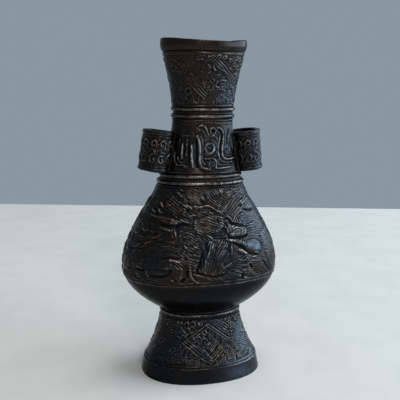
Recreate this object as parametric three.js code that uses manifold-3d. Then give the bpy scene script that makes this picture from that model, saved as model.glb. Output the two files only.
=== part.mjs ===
// Small cast bronze arrow vase of oval section: spread foot, swelling body, waisted
// neck, trumpet mouth, and an open tubular ear brazed to each side of the neck.
// Millimetres, +Z up, standing on z = 0. The ears lie along X and the front faces -Y.
// The vase is four castings that plug together under raised string courses, a base
// plate let in above the foot, two ears, and the braze that seals each seam.
import * as THREE from 'three';
import { mergeVertices } from 'three/addons/utils/BufferGeometryUtils.js';
import Module from 'manifold-3d';

// Heights above the floor
const FOOT_BAND_Z = 6.2;
const WAIST_Z = 30.4;
const BELLY_Z = 49.6;
const FLANK_Z = 80;
const SHOULDER_Z = 89.7;
const NECK_Z = 118;
const LIP_BAND_Z = 143.5;
const RIM_Z = 149;

// Half widths along X at those heights
const FOOT_HALF_WIDTH = 27.6;
const FOOT_BAND_HALF_WIDTH = 26.4;
const WAIST_HALF_WIDTH = 17.8;
const BELLY_HALF_WIDTH = 35.1;
const FLANK_HALF_WIDTH = 22.6;
const SHOULDER_HALF_WIDTH = 18.2;
const NECK_HALF_WIDTH = 13.35;
const RIM_HALF_WIDTH = 19.3;

// Half depths along Y at those heights
const FOOT_HALF_DEPTH = 20.5;
const FOOT_BAND_HALF_DEPTH = 19.3;
const WAIST_HALF_DEPTH = 13;
const BELLY_HALF_DEPTH = 24.3;
const FLANK_HALF_DEPTH = 16.3;
const SHOULDER_HALF_DEPTH = 13.4;
const NECK_HALF_DEPTH = 9.7;
const RIM_HALF_DEPTH = 14.3;

// Slopes of the outline, as half width gained for each millimetre of height
const FOOT_FLARE_SLOPE = -0.62;
const WAIST_SLOPE = -0.15;
const UNDERSIDE_SLOPE = 1.8;
const BELLY_SLOPE = 0;
const FLANK_SLOPE = -0.68;
const SHOULDER_SLOPE = -0.3;
const NECK_SLOPE = 0.05;
const LIP_SLOPE = 0.25;

// Section of the vase and thickness of its walls
const SECTION_POWER = 2.19;
const WALL = 2.6;
const LIP_ROUNDING = 0.5;
const LIP_BAND_GROOVE = 0.35;
const LIP_BAND_GROOVE_HEIGHT = 0.8;

// Raised string courses, one on each side of a joint
const STRING_RISE = 0.6;
const STRING_HEIGHT = 1.7;
const STRING_PITCH = 2.9;

// Spigot and socket between two castings, and the groove that the braze fills
const SPIGOT_SETBACK = 1.3;
const SPIGOT_LENGTH = 3.4;
const SPIGOT_CLEARANCE = 0.15;
const SPIGOT_END_CLEARANCE = 0.3;
const BRAZE_HEIGHT = 1;
const BRAZE_DEPTH = 0.6;
const BRAZE_CLEARANCE = 0.1;

// Base plate, resting on a ledge inside the foot's spigot
const PLATE_THICKNESS = 2;
const PLATE_SEAT_RISE = 0.4;
const PLATE_CLEARANCE = 0.15;
const PLATE_WALL = 1.2;
const LEDGE_WIDTH = 2;
const LEDGE_THICKNESS = 2;
const SOLDER_LEG = 0.9;
const SOLDER_CLEARANCE = 0.1;

// Tubular ears: an oval tube leaning in at the top, cut to sit against the neck
const EAR_MIDDLE_Z = 101.5;
const EAR_LENGTH = 17.5;
const EAR_AXIS_OFFSET = 20.1;
const EAR_HALF_WIDTH = 6.9;
const EAR_HALF_DEPTH = 8.5;
const EAR_LEAN_DEGREES = 7;
const EAR_SECTION_POWER = 2;
const EAR_WALL = 1.6;
const EAR_LIP_RISE = 0.35;
const EAR_LIP_HEIGHT = 1.6;
const EAR_LIP_BEVEL = 0.3;
const EAR_SEAM_WIDTH = 1.5;
const EAR_SEAM_CLEARANCE = 0.3;
const EAR_SEAM_SPREAD = 0.4;
const EAR_SEAM_START = 2.4;

// Facets
const SEGMENTS = 40;
const EAR_SEGMENTS = 36;
const FOOT_STEPS = 6;
const BODY_STEPS = 11;
const NECK_STEPS = 6;
const MOUTH_STEPS = 6;
const BEAD_STEPS = 4;

const BRONZE = { color: 0x2b2622, metalness: 0.75, roughness: 0.5 };
const BRAZE = { color: 0x5a3c22, metalness: 0.8, roughness: 0.55 };

const wasm = await Module();
wasm.setup();

// Outline of the whole vase

function stretch(lower, upper, lowerSlope, upperSlope) {
  return { lower, upper, lowerSlope, upperSlope };
}

const foot = { z: 0, w: FOOT_HALF_WIDTH, d: FOOT_HALF_DEPTH };
const footBand = { z: FOOT_BAND_Z, w: FOOT_BAND_HALF_WIDTH, d: FOOT_BAND_HALF_DEPTH };
const waist = { z: WAIST_Z, w: WAIST_HALF_WIDTH, d: WAIST_HALF_DEPTH };
const belly = { z: BELLY_Z, w: BELLY_HALF_WIDTH, d: BELLY_HALF_DEPTH };
const flank = { z: FLANK_Z, w: FLANK_HALF_WIDTH, d: FLANK_HALF_DEPTH };
const shoulder = { z: SHOULDER_Z, w: SHOULDER_HALF_WIDTH, d: SHOULDER_HALF_DEPTH };
const neck = { z: NECK_Z, w: NECK_HALF_WIDTH, d: NECK_HALF_DEPTH };
const rim = { z: RIM_Z, w: RIM_HALF_WIDTH, d: RIM_HALF_DEPTH };
const footBandSlope = (footBand.w - foot.w) / (footBand.z - foot.z);

const STRETCHES = [
  stretch(foot, footBand, footBandSlope, footBandSlope),
  stretch(footBand, waist, FOOT_FLARE_SLOPE, WAIST_SLOPE),
  stretch(waist, belly, UNDERSIDE_SLOPE, BELLY_SLOPE),
  stretch(belly, flank, BELLY_SLOPE, FLANK_SLOPE),
  stretch(flank, shoulder, FLANK_SLOPE, SHOULDER_SLOPE),
  stretch(shoulder, neck, SHOULDER_SLOPE, NECK_SLOPE),
  stretch(neck, rim, NECK_SLOPE, LIP_SLOPE),
];

// Value and slope, at t from 0 to 1, of the cubic with the given ends and end slopes
function cubic(t, span, start, end, startSlope, endSlope) {
  const rise = end - start;
  const a = startSlope * span;
  const b = endSlope * span;
  const value = start + a * t + (3 * rise - 2 * a - b) * t ** 2 + (a + b - 2 * rise) * t ** 3;
  const slope = (a + 2 * (3 * rise - 2 * a - b) * t + 3 * (a + b - 2 * rise) * t ** 2) / span;
  return [value, slope];
}

// Half width and half depth of the outside at height z, with their slopes
function outside(z) {
  const last = STRETCHES[STRETCHES.length - 1];
  const { lower, upper, lowerSlope, upperSlope } = STRETCHES.find((s) => z < s.upper.z) ?? last;
  const span = upper.z - lower.z;
  const t = (z - lower.z) / span;
  const [w, wSlope] = cubic(t, span, lower.w, upper.w, lowerSlope, upperSlope);
  const lowerDepthSlope = (lowerSlope * lower.d) / lower.w;
  const upperDepthSlope = (upperSlope * upper.d) / upper.w;
  const [d, dSlope] = cubic(t, span, lower.d, upper.d, lowerDepthSlope, upperDepthSlope);
  return { w, d, wSlope, dSlope };
}

// One oval ring on the outside at height z, moved out by an offset
function outerRing(z, offset = 0) {
  const { w, d } = outside(z);
  return { z, w: w + offset, d: d + offset };
}

// One oval ring on the inside at height z, a wall's thickness in from the slope
function innerRing(z) {
  const { w, d, wSlope, dSlope } = outside(z);
  return { z, w: w - WALL * Math.hypot(1, wSlope), d: d - WALL * Math.hypot(1, dSlope) };
}

const movedRing = (ring, offset, z = ring.z) => ({ z, w: ring.w + offset, d: ring.d + offset });

// Rings from one height to another, both ends included
function ringsBetween(start, end, steps, ringAt) {
  return Array.from({ length: steps + 1 }, (_, i) => ringAt(start + ((end - start) * i) / steps));
}

// Half round string course at height z
function bead(z) {
  const ringAt = (angle) => {
    const height = z + (STRING_HEIGHT / 2) * Math.sin(angle);
    return outerRing(height, STRING_RISE * Math.cos(angle));
  };
  return ringsBetween(-Math.PI / 2, Math.PI / 2, BEAD_STEPS, ringAt);
}

// Ends of the castings

const stringBelow = (jointZ) => bead(jointZ - STRING_PITCH / 2);
const stringAbove = (jointZ) => bead(jointZ + STRING_PITCH / 2);
const stringReach = STRING_PITCH / 2 + STRING_HEIGHT / 2;
const spigotTop = (jointZ) => jointZ + SPIGOT_LENGTH;
const socketCeiling = (jointZ) => spigotTop(jointZ) + SPIGOT_END_CLEARANCE;

// The spigot follows the casting above it where that narrows, and else stands straight
function spigotRing(jointZ, z) {
  const seat = outside(jointZ);
  const above = outside(z);
  const w = Math.min(seat.w, above.w) - SPIGOT_SETBACK;
  const d = Math.min(seat.d, above.d) - SPIGOT_SETBACK;
  return { z, w, d };
}

// Top of the lower casting: half the braze groove, bearing face and spigot
function spigotEnd(jointZ) {
  const groove = outerRing(jointZ - BRAZE_HEIGHT / 2);
  const bearing = outerRing(jointZ, -BRAZE_DEPTH);
  return [
    groove,
    movedRing(bearing, 0, groove.z),
    bearing,
    spigotRing(jointZ, jointZ),
    spigotRing(jointZ, spigotTop(jointZ)),
  ];
}

// Bottom of the upper casting: socket, bearing face and the other half of the groove
function socketEnd(jointZ) {
  const groove = outerRing(jointZ + BRAZE_HEIGHT / 2);
  const bearing = outerRing(jointZ, -BRAZE_DEPTH);
  return [
    movedRing(spigotRing(jointZ, socketCeiling(jointZ)), SPIGOT_CLEARANCE),
    movedRing(spigotRing(jointZ, jointZ), SPIGOT_CLEARANCE),
    bearing,
    movedRing(bearing, 0, groove.z),
    groove,
  ];
}

// Solids

function ovalPoint(ring, angle, power) {
  const x = Math.cos(angle);
  const y = Math.sin(angle);
  const reach = (value) => Math.sign(value) * Math.abs(value) ** (2 / power);
  return [ring.w * reach(x), ring.d * reach(y), ring.z];
}

// Closed body whose section is a closed loop of rings, outside going up first
function shell(rings, segments = SEGMENTS, power = SECTION_POWER) {
  const positions = [];
  for (const ring of rings) {
    for (let i = 0; i < segments; i++) {
      positions.push(...ovalPoint(ring, (2 * Math.PI * i) / segments, power));
    }
  }
  const index = [];
  rings.forEach((_, r) => {
    const here = r * segments;
    const next = ((r + 1) % rings.length) * segments;
    for (let i = 0; i < segments; i++) {
      const j = (i + 1) % segments;
      index.push(here + i, here + j, next + j, here + i, next + j, next + i);
    }
  });
  const geometry = new THREE.BufferGeometry();
  geometry.setAttribute('position', new THREE.Float32BufferAttribute(positions, 3));
  geometry.setIndex(index);
  return geometry;
}

// Closed body filled to its middle, from a stack of rings going up
function plug(rings) {
  const unit = { z: 0, w: 1, d: 1 };
  const corners = Array.from({ length: SEGMENTS }, (_, i) => {
    const [x, y] = ovalPoint(unit, (2 * Math.PI * i) / SEGMENTS, SECTION_POWER);
    return new THREE.Vector2(x, y);
  });
  const steps = rings.length - 1;
  const extent = { depth: steps, steps, bevelEnabled: false };
  const drum = new THREE.ExtrudeGeometry(new THREE.Shape(corners), extent);
  const position = drum.getAttribute('position');
  for (let i = 0; i < position.count; i++) {
    const ring = rings[Math.round(position.getZ(i))];
    position.setXYZ(i, position.getX(i) * ring.w, position.getY(i) * ring.d, ring.z);
  }
  return drum;
}

function toManifold(geometry) {
  const bare = geometry.clone();
  bare.deleteAttribute('normal');
  bare.deleteAttribute('uv');
  const merged = mergeVertices(bare);
  const vertProperties = new Float32Array(merged.getAttribute('position').array);
  const triVerts = new Uint32Array(merged.index.array);
  return new wasm.Manifold(new wasm.Mesh({ numProp: 3, vertProperties, triVerts }));
}

function fromManifold(solid) {
  const mesh = solid.getMesh();
  const geometry = new THREE.BufferGeometry();
  geometry.setAttribute('position', new THREE.Float32BufferAttribute(mesh.vertProperties, 3));
  geometry.setIndex(new THREE.Uint32BufferAttribute(mesh.triVerts, 1));
  return geometry;
}

function part(name, geometry, finish) {
  const flat = geometry.index ? geometry.toNonIndexed() : geometry;
  flat.computeVertexNormals();
  const mesh = new THREE.Mesh(flat, new THREE.MeshStandardMaterial(finish));
  mesh.name = name;
  return mesh;
}

// Castings

const plateSeatZ = WAIST_Z + PLATE_SEAT_RISE;
const plateTopZ = plateSeatZ + PLATE_THICKNESS;
const plateRecess = movedRing(spigotRing(WAIST_Z, WAIST_Z), -PLATE_WALL);

function footSection() {
  const ledge = movedRing(plateRecess, -LEDGE_WIDTH, plateSeatZ);
  const ledgeUnderside = plateSeatZ - LEDGE_THICKNESS;
  const innerTop = ledgeUnderside - LEDGE_WIDTH / 2;
  return shell([
    outerRing(0),
    ...ringsBetween(FOOT_BAND_Z, WAIST_Z - stringReach, FOOT_STEPS, (z) => outerRing(z)),
    ...stringBelow(WAIST_Z).slice(1),
    ...spigotEnd(WAIST_Z),
    movedRing(plateRecess, 0, spigotTop(WAIST_Z)),
    movedRing(plateRecess, 0, plateSeatZ),
    ledge,
    movedRing(ledge, 0, ledgeUnderside),
    ...ringsBetween(innerTop, 0, FOOT_STEPS, innerRing),
  ]);
}

function bodyShell() {
  const outerBottom = WAIST_Z + BRAZE_HEIGHT / 2;
  return shell([
    ...socketEnd(WAIST_Z),
    ...ringsBetween(outerBottom, SHOULDER_Z - stringReach, BODY_STEPS, (z) => outerRing(z)).slice(1),
    ...stringBelow(SHOULDER_Z).slice(1),
    ...spigotEnd(SHOULDER_Z),
    ...ringsBetween(spigotTop(SHOULDER_Z), socketCeiling(WAIST_Z), BODY_STEPS, innerRing),
  ]);
}

function neckSection() {
  const outerBottom = SHOULDER_Z + stringReach;
  return shell([
    ...socketEnd(SHOULDER_Z),
    ...stringAbove(SHOULDER_Z),
    ...ringsBetween(outerBottom, NECK_Z - stringReach, NECK_STEPS, (z) => outerRing(z)).slice(1),
    ...stringBelow(NECK_Z).slice(1),
    ...spigotEnd(NECK_Z),
    ...ringsBetween(spigotTop(NECK_Z), socketCeiling(SHOULDER_Z), NECK_STEPS, innerRing),
  ]);
}

function mouthSection() {
  const grooveTop = LIP_BAND_Z + LIP_BAND_GROOVE_HEIGHT / 2;
  const grooveBottom = LIP_BAND_Z - LIP_BAND_GROOVE_HEIGHT / 2;
  const roundingZ = RIM_Z - LIP_ROUNDING;
  return shell([
    ...socketEnd(NECK_Z),
    ...stringAbove(NECK_Z),
    ...ringsBetween(NECK_Z + stringReach, grooveBottom, MOUTH_STEPS, (z) => outerRing(z)).slice(1),
    outerRing(LIP_BAND_Z, -LIP_BAND_GROOVE),
    outerRing(grooveTop),
    outerRing(roundingZ),
    movedRing(outerRing(RIM_Z), -LIP_ROUNDING),
    movedRing(innerRing(RIM_Z), LIP_ROUNDING),
    ...ringsBetween(roundingZ, socketCeiling(NECK_Z), MOUTH_STEPS, innerRing),
  ]);
}

function basePlate() {
  const edge = movedRing(plateRecess, -PLATE_CLEARANCE);
  return plug([movedRing(edge, 0, plateSeatZ), movedRing(edge, 0, plateTopZ)]);
}

// Braze and solder

function brazeRing(jointZ) {
  const bottom = jointZ - BRAZE_HEIGHT / 2;
  const top = jointZ + BRAZE_HEIGHT / 2;
  const back = movedRing(outerRing(jointZ), BRAZE_CLEARANCE - BRAZE_DEPTH);
  return shell([outerRing(bottom), outerRing(top), movedRing(back, 0, top), movedRing(back, 0, bottom)]);
}

function basePlateSolder() {
  const edge = movedRing(plateRecess, -SOLDER_CLEARANCE);
  return shell([
    movedRing(edge, 0, plateTopZ),
    movedRing(edge, 0, plateTopZ + SOLDER_LEG),
    movedRing(edge, -SOLDER_LEG, plateTopZ),
  ]);
}

// Ears

// One oval ring of an ear at a distance along its axis, moved out by an offset
function earRing(z, offset) {
  return { z, w: EAR_HALF_WIDTH + offset, d: EAR_HALF_DEPTH + offset };
}

function placedTube(rings, side) {
  const geometry = shell(rings, EAR_SEGMENTS, EAR_SECTION_POWER);
  geometry.rotateY(THREE.MathUtils.degToRad(-side * EAR_LEAN_DEGREES));
  geometry.translate(side * EAR_AXIS_OFFSET, 0, EAR_MIDDLE_Z);
  return toManifold(geometry);
}

// Open tube with a low raised lip at each end
function earTube(side) {
  const end = EAR_LENGTH / 2;
  const upperLip = [
    earRing(end - EAR_LIP_HEIGHT - EAR_LIP_BEVEL, 0),
    earRing(end - EAR_LIP_HEIGHT, EAR_LIP_RISE),
    earRing(end - EAR_LIP_BEVEL, EAR_LIP_RISE),
    earRing(end, EAR_LIP_RISE - EAR_LIP_BEVEL),
  ];
  const lowerLip = upperLip.map((ring) => movedRing(ring, 0, -ring.z)).reverse();
  return placedTube([...lowerLip, ...upperLip, earRing(end, -EAR_WALL), earRing(-end, -EAR_WALL)], side);
}

// Tube of braze, a little thicker than the ear's wall
function seamTube(side) {
  const end = EAR_LENGTH / 2 - EAR_LIP_BEVEL;
  const outer = EAR_SEAM_SPREAD;
  const inner = -EAR_WALL - EAR_SEAM_SPREAD;
  const wall = [earRing(-end, outer), earRing(end, outer), earRing(end, inner), earRing(-end, inner)];
  return placedTube(wall, side);
}

// The neck with its lowest string course, filled solid and grown by an offset, with a
// straight skirt below the course, to cut what sits against the neck
function neckCore(offset) {
  const courseZ = SHOULDER_Z + STRING_PITCH / 2;
  const crest = outerRing(courseZ, STRING_RISE + offset);
  const upperCourse = bead(courseZ).slice(BEAD_STEPS / 2 + 1).map((ring) => movedRing(ring, offset));
  const wall = ringsBetween(SHOULDER_Z + stringReach, NECK_Z, NECK_STEPS, (z) => outerRing(z, offset));
  return toManifold(plug([movedRing(crest, 0, BELLY_Z), crest, ...upperCourse, ...wall.slice(1)]));
}

function ear(side) {
  return fromManifold(earTube(side).subtract(neckCore(EAR_SEAM_WIDTH)));
}

// The strip of braze down one edge of an ear, front (-1) or back (+1)
function earSeam(side, face) {
  const gap = neckCore(EAR_SEAM_WIDTH - EAR_SEAM_CLEARANCE).subtract(neckCore(EAR_SEAM_CLEARANCE));
  const reach = EAR_AXIS_OFFSET + EAR_HALF_WIDTH;
  const quarter = new THREE.BoxGeometry(reach, reach, NECK_Z);
  quarter.translate((side * reach) / 2, face * (EAR_SEAM_START + reach / 2), EAR_MIDDLE_Z);
  return fromManifold(seamTube(side).intersect(gap).intersect(toManifold(quarter)));
}

const vase = new THREE.Group();
vase.add(
  part('foot_section', footSection(), BRONZE),
  part('body_shell', bodyShell(), BRONZE),
  part('neck_section', neckSection(), BRONZE),
  part('mouth_section', mouthSection(), BRONZE),
  part('base_plate', basePlate(), BRONZE),
  part('base_plate_solder', basePlateSolder(), BRAZE),
  part('waist_braze_ring', brazeRing(WAIST_Z), BRAZE),
  part('shoulder_braze_ring', brazeRing(SHOULDER_Z), BRAZE),
  part('neck_braze_ring', brazeRing(NECK_Z), BRAZE),
);
for (const [sideName, side] of [['left', -1], ['right', 1]]) {
  vase.add(part(`${sideName}_ear`, ear(side), BRONZE));
  for (const [faceName, face] of [['front', -1], ['back', 1]]) {
    vase.add(part(`${sideName}_ear_${faceName}_seam`, earSeam(side, face), BRAZE));
  }
}

export default vase;
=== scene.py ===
# Looks for a small cast bronze arrow vase: four castings with their relief, two tubular
# ears, and the braze and solder between them. Lengths are in millimetres until a mesh is
# made. +Z is up, the ears lie along X and the front faces -Y.
import math
from collections import namedtuple

import bpy
import numpy as np
from mathutils import Matrix

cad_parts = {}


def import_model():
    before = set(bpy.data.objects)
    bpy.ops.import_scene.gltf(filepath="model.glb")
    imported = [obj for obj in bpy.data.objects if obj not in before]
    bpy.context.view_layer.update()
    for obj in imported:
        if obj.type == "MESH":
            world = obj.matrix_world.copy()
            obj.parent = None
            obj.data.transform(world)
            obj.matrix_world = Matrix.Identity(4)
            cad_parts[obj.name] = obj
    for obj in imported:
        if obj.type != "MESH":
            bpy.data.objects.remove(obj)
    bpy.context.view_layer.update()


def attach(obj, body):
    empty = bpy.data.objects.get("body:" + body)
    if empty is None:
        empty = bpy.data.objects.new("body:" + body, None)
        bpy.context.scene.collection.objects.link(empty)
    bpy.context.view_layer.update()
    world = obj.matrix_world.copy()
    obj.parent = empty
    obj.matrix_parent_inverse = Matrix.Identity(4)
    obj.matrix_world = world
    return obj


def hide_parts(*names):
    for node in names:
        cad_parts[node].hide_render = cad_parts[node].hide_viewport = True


MM = 0.001

# Outline of the outside: height, half width along X and half depth along Y
FOOT = (0.0, 27.6, 20.5)
FOOT_BAND = (6.2, 26.4, 19.3)
WAIST = (30.4, 17.8, 13.0)
BELLY = (49.6, 35.1, 24.3)
FLANK = (80.0, 22.6, 16.3)
SHOULDER = (89.7, 18.2, 13.4)
NECK = (118.0, 13.35, 9.7)
RIM = (149.0, 19.3, 14.3)
FOOT_BAND_SLOPE = (FOOT_BAND[1] - FOOT[1]) / (FOOT_BAND[0] - FOOT[0])

# Each stretch of the outline with the slopes of its half width at its two ends
STRETCHES = [
    (FOOT, FOOT_BAND, FOOT_BAND_SLOPE, FOOT_BAND_SLOPE),
    (FOOT_BAND, WAIST, -0.62, -0.15),
    (WAIST, BELLY, 1.8, 0.0),
    (BELLY, FLANK, 0.0, -0.68),
    (FLANK, SHOULDER, -0.68, -0.3),
    (SHOULDER, NECK, -0.3, 0.05),
    (NECK, RIM, 0.05, 0.25),
]

# Section and walls
SECTION_POWER = 2.19
SECTION_ASPECT = 0.72
WALL = 2.6

# String courses: their size, and each one's height and how much bolder it is drawn
STRING_RISE = 0.6
STRING_HEIGHT = 1.7
STRING_PITCH = 2.9
COURSES = [
    (WAIST[0] - STRING_PITCH / 2, 1.0),
    (SHOULDER[0] - STRING_PITCH / 2, 1.5),
    (SHOULDER[0] + STRING_PITCH / 2, 1.3),
    (NECK[0] - STRING_PITCH / 2, 1.3),
    (NECK[0] + STRING_PITCH / 2, 1.3),
]
# How strongly the string courses take the rubbed colour, partly wear and partly a painted highlight
COURSE_WEAR_AND_HIGHLIGHT = 0.9

# Dents, lumps and grain of the castings, each with its depth and size
UNEVENNESS = [(0.11, 14.0), (0.035, 3.1), (0.02, 1.1)]

# Lip and the joints between castings
LIP_BAND_Z = 143.5
LIP_BAND_GROOVE = 0.35
LIP_BAND_GROOVE_HEIGHT = 0.8
LIP_ROUNDING = 0.5
SPIGOT_SETBACK = 1.3
SPIGOT_LENGTH = 3.4
SPIGOT_CLEARANCE = 0.15
SPIGOT_END_CLEARANCE = 0.3
BRAZE_HEIGHT = 1.0
BRAZE_DEPTH = 0.6
BRAZE_CLEARANCE = 0.1

# Base plate
PLATE_SEAT_Z = WAIST[0] + 0.4
PLATE_TOP_Z = PLATE_SEAT_Z + 2.0
PLATE_WALL = 1.2
PLATE_CLEARANCE = 0.15
LEDGE_WIDTH = 2.0
LEDGE_THICKNESS = 2.0
SOLDER_LEG = 0.9
SOLDER_CLEARANCE = 0.1

# Ears
EAR_MIDDLE_Z = 101.5
EAR_LENGTH = 17.5
EAR_AXIS_OFFSET = 20.1
EAR_HALF_WIDTH = 6.9
EAR_HALF_DEPTH = 8.5
EAR_LEAN = math.radians(7)
EAR_WALL = 1.6
EAR_LIP_RISE = 0.35
EAR_LIP_HEIGHT = 1.6
EAR_EDGE = 0.35
EAR_GAP = 0.7
EAR_MEAN_RADIUS = 7.8
EAR_HALF_ROUND = 30.0
EAR_COLUMNS = 200

# Braze down the ears' edges: its laps over the tube and into the neck, how far it ends short
# of the tube's ends, how close it comes to the middle of the vase, and its rows across
SEAM_LAP = 0.05
SEAM_SINK = 0.35
SEAM_SETBACK = 0.25
SEAM_NEAREST_Y = 2.45
SEAM_STEPS = 9

# Each casting's relief: half of the way round it at its band's middle height, the seed of
# its wear and its mesh columns
Relief = namedtuple("Relief", "half_round seed columns")
FOOT_RELIEF = Relief(60.94, 11, 560)
BODY_RELIEF = Relief(84.79, 21, 760)
NECK_RELIEF = Relief(40.1, 31, 400)
MOUTH_RELIEF = Relief(43.95, 41, 440)
RING_COLUMNS = 240
SHARP_ANGLE = math.radians(65)

# The casting's slight bow to the left: sideways shift at each height
BOW_HEIGHTS = (0.0, 30.0, 45.0, 88.0, 101.0, 118.0, 149.0)
BOW_SHIFTS = (0.35, -0.35, -0.7, -0.8, -0.45, 0.0, 0.0)

# The floor's turn, which sets it square to the camera's view, and its reach in metres
FLOOR_TURN = math.radians(-15.5)
FLOOR_BEHIND = 0.385
FLOOR_REACH = 3

# Spacings of the relief drawings: points on a curve and strides of a fine line
CURVE_STEP = 0.25
STRIDE = 0.3

# Points round the oval that its columns are measured on, and rows of a noise's lattice
OVAL_POINTS = 8001
NOISE_ROWS = 512


# Outline


def cubic(t, span, start, end, start_slope, end_slope):
    """Value and slope, at t from 0 to 1, of the cubic with the given ends and slopes."""
    rise, a, b = end - start, start_slope * span, end_slope * span
    square = 3 * rise - 2 * a - b
    cube = a + b - 2 * rise
    value = start + a * t + square * t**2 + cube * t**3
    return value, (a + 2 * square * t + 3 * cube * t**2) / span


def outside(z):
    """Half width, half depth and the slopes of both, at heights z."""
    z = np.asarray(z, float)
    found = np.zeros((4,) + z.shape)
    for lower, upper, lower_slope, upper_slope in STRETCHES:
        span = upper[0] - lower[0]
        t = (z - lower[0]) / span
        for k in (1, 2):
            slopes = lower_slope * lower[k] / lower[1], upper_slope * upper[k] / upper[1]
            value, slope = cubic(t, span, lower[k], upper[k], *slopes)
            found[k - 1] = np.where(t >= 0, value, found[k - 1])
            found[k + 1] = np.where(t >= 0, slope, found[k + 1])
    return found


def outer_ring(z, offset=0.0):
    """Height, half width and half depth of the outside at z, moved out by an offset."""
    width, depth, _, _ = outside(z)
    return np.array([z, width + offset, depth + offset])


def inner_ring(z):
    """The same for the inside, a wall's thickness in from the slope."""
    width, depth, width_slope, depth_slope = outside(z)
    width = width - WALL * np.hypot(1, width_slope)
    depth = depth - WALL * np.hypot(1, depth_slope)
    return np.array([z, width, depth])


def moved_ring(ring, offset, z=None):
    """A ring moved out by an offset, and to another height if one is given."""
    return np.array([ring[0] if z is None else z, ring[1] + offset, ring[2] + offset])


def spigot_ring(joint_z, z):
    """The spigot follows the casting above it where that narrows, and else stands straight."""
    width, depth = np.minimum(outer_ring(joint_z)[1:], outer_ring(z)[1:]) - SPIGOT_SETBACK
    return np.array([z, width, depth])


def spigot_end(joint_z):
    """Top of a lower casting: its half of the braze groove, bearing face and spigot."""
    bearing = outer_ring(joint_z, -BRAZE_DEPTH)
    return [
        moved_ring(bearing, 0, joint_z - BRAZE_HEIGHT / 2),
        bearing,
        spigot_ring(joint_z, joint_z),
        spigot_ring(joint_z, joint_z + SPIGOT_LENGTH),
    ]


def socket_ceiling(joint_z):
    """Height at which the socket over a joint ends."""
    return joint_z + SPIGOT_LENGTH + SPIGOT_END_CLEARANCE


def socket_end(joint_z):
    """Bottom of an upper casting: socket, bearing face and its half of the braze groove."""
    bearing = outer_ring(joint_z, -BRAZE_DEPTH)
    return [
        moved_ring(spigot_ring(joint_z, socket_ceiling(joint_z)), SPIGOT_CLEARANCE),
        moved_ring(spigot_ring(joint_z, joint_z), SPIGOT_CLEARANCE),
        bearing,
        moved_ring(bearing, 0, joint_z + BRAZE_HEIGHT / 2),
    ]


def plate_recess():
    """Ring of the recess inside the foot's spigot that takes the base plate."""
    return moved_ring(spigot_ring(WAIST[0], WAIST[0]), -PLATE_WALL)


def unit_oval(angle):
    """The two unit coordinates of the oval section at an angle."""
    turned = np.stack([np.cos(angle), np.sin(angle)])
    return np.sign(turned) * np.abs(turned) ** (2 / SECTION_POWER)


def oval_columns(count):
    """Columns at equal steps round the oval: place q from -1 to 1 with the front at 0 and
    +X at 0.5, and the column's two unit coordinates."""
    angle = np.linspace(-1.5 * np.pi, 0.5 * np.pi, OVAL_POINTS)
    x, y = unit_oval(angle)
    along = np.append(0, np.cumsum(np.hypot(np.diff(x), SECTION_ASPECT * np.diff(y))))
    q = np.linspace(-1, 1, count, endpoint=False)
    unit_x, unit_y = unit_oval(np.interp(q, along / along[-1] * 2 - 1, angle))
    return q, unit_x, unit_y


# Noise


def smooth(t):
    """Smooth step of t, clipped to 0 and 1."""
    t = np.clip(t, 0, 1)
    return t * t * (3 - 2 * t)


def between(grid, rows, columns, up, across):
    """Values of a grid between two rows and two columns, at shares of the way up and across."""
    (j, j_next), (i, i_next) = rows, columns
    lower = grid[j, i] * (1 - across) + grid[j, i_next] * across
    upper = grid[j_next, i] * (1 - across) + grid[j_next, i_next] * across
    return lower * (1 - up) + upper * up


def noise(across, up, cells, seed):
    """Smooth noise from -1 to 1 that repeats every given number of cells across."""
    lattice = np.random.default_rng(seed).uniform(-1, 1, (NOISE_ROWS, cells))
    i, j = np.floor(across).astype(int), np.floor(up).astype(int)
    rows, columns = (j % NOISE_ROWS, (j + 1) % NOISE_ROWS), (i % cells, (i + 1) % cells)
    return between(lattice, rows, columns, smooth(up - j), smooth(across - i))


def round_noise(q, z, half_round, grain, seed):
    """Noise with grains of about the given size on a band, repeating once round it."""
    cells = max(4, int(round(2 * half_round / grain)))
    return noise((q + 1) / 2 * cells, z / grain + 7, cells, seed)


def blurred(grid, reach):
    """The grid averaged over a square of reach cells each way, twice."""
    width = 2 * reach + 1
    for axis in (0, 1, 0, 1):
        ends = [(0, 0), (0, 0)]
        ends[axis] = (reach + 1, reach)
        total = np.cumsum(np.pad(grid, ends, mode="edge"), axis=axis)
        first = np.arange(grid.shape[axis])
        grid = (np.take(total, first + width, axis=axis) - np.take(total, first, axis=axis)) / width
    return grid


# Relief canvas


def points_of(path):
    """A path's points, from pairs or from s, z, s, z and so on."""
    return np.asarray(path, float).reshape(-1, 2)


def curve_through(path):
    """Points closely spaced on a smooth curve through a path's points."""
    points = points_of(path)
    if len(points) == 2:
        return np.linspace(points[0], points[1], curve_count(*points))
    padded = np.vstack([2 * points[0] - points[1], points, 2 * points[-1] - points[-2]])
    pieces = []
    for a, b, c, d in zip(padded[:-3], padded[1:-2], padded[2:-1], padded[3:]):
        t = np.linspace(0, 1, curve_count(b, c), endpoint=False)[:, None]
        square = 2 * a - 5 * b + 4 * c - d
        cube = -a + 3 * b - 3 * c + d
        pieces.append(0.5 * (2 * b + (c - a) * t + square * t**2 + cube * t**3))
    return np.vstack(pieces + [points[-1:]])


def curve_count(a, b):
    """How many points a curve needs between two of its given ones."""
    return max(2, int(np.hypot(*(b - a)) / CURVE_STEP) + 1)


def arc(centre, radius, turn):
    """Points at angles round a centre, at one radius or one for each."""
    return np.stack([centre[0] + radius * np.cos(turn), centre[1] + radius * np.sin(turn)], 1)


def resampled(path, t):
    """A path's points at shares t of its length."""
    along = np.append(0, np.cumsum(np.hypot(*np.diff(path, axis=0).T)))
    return np.stack([np.interp(t, along / along[-1], values) for values in path.T], 1)


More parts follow.
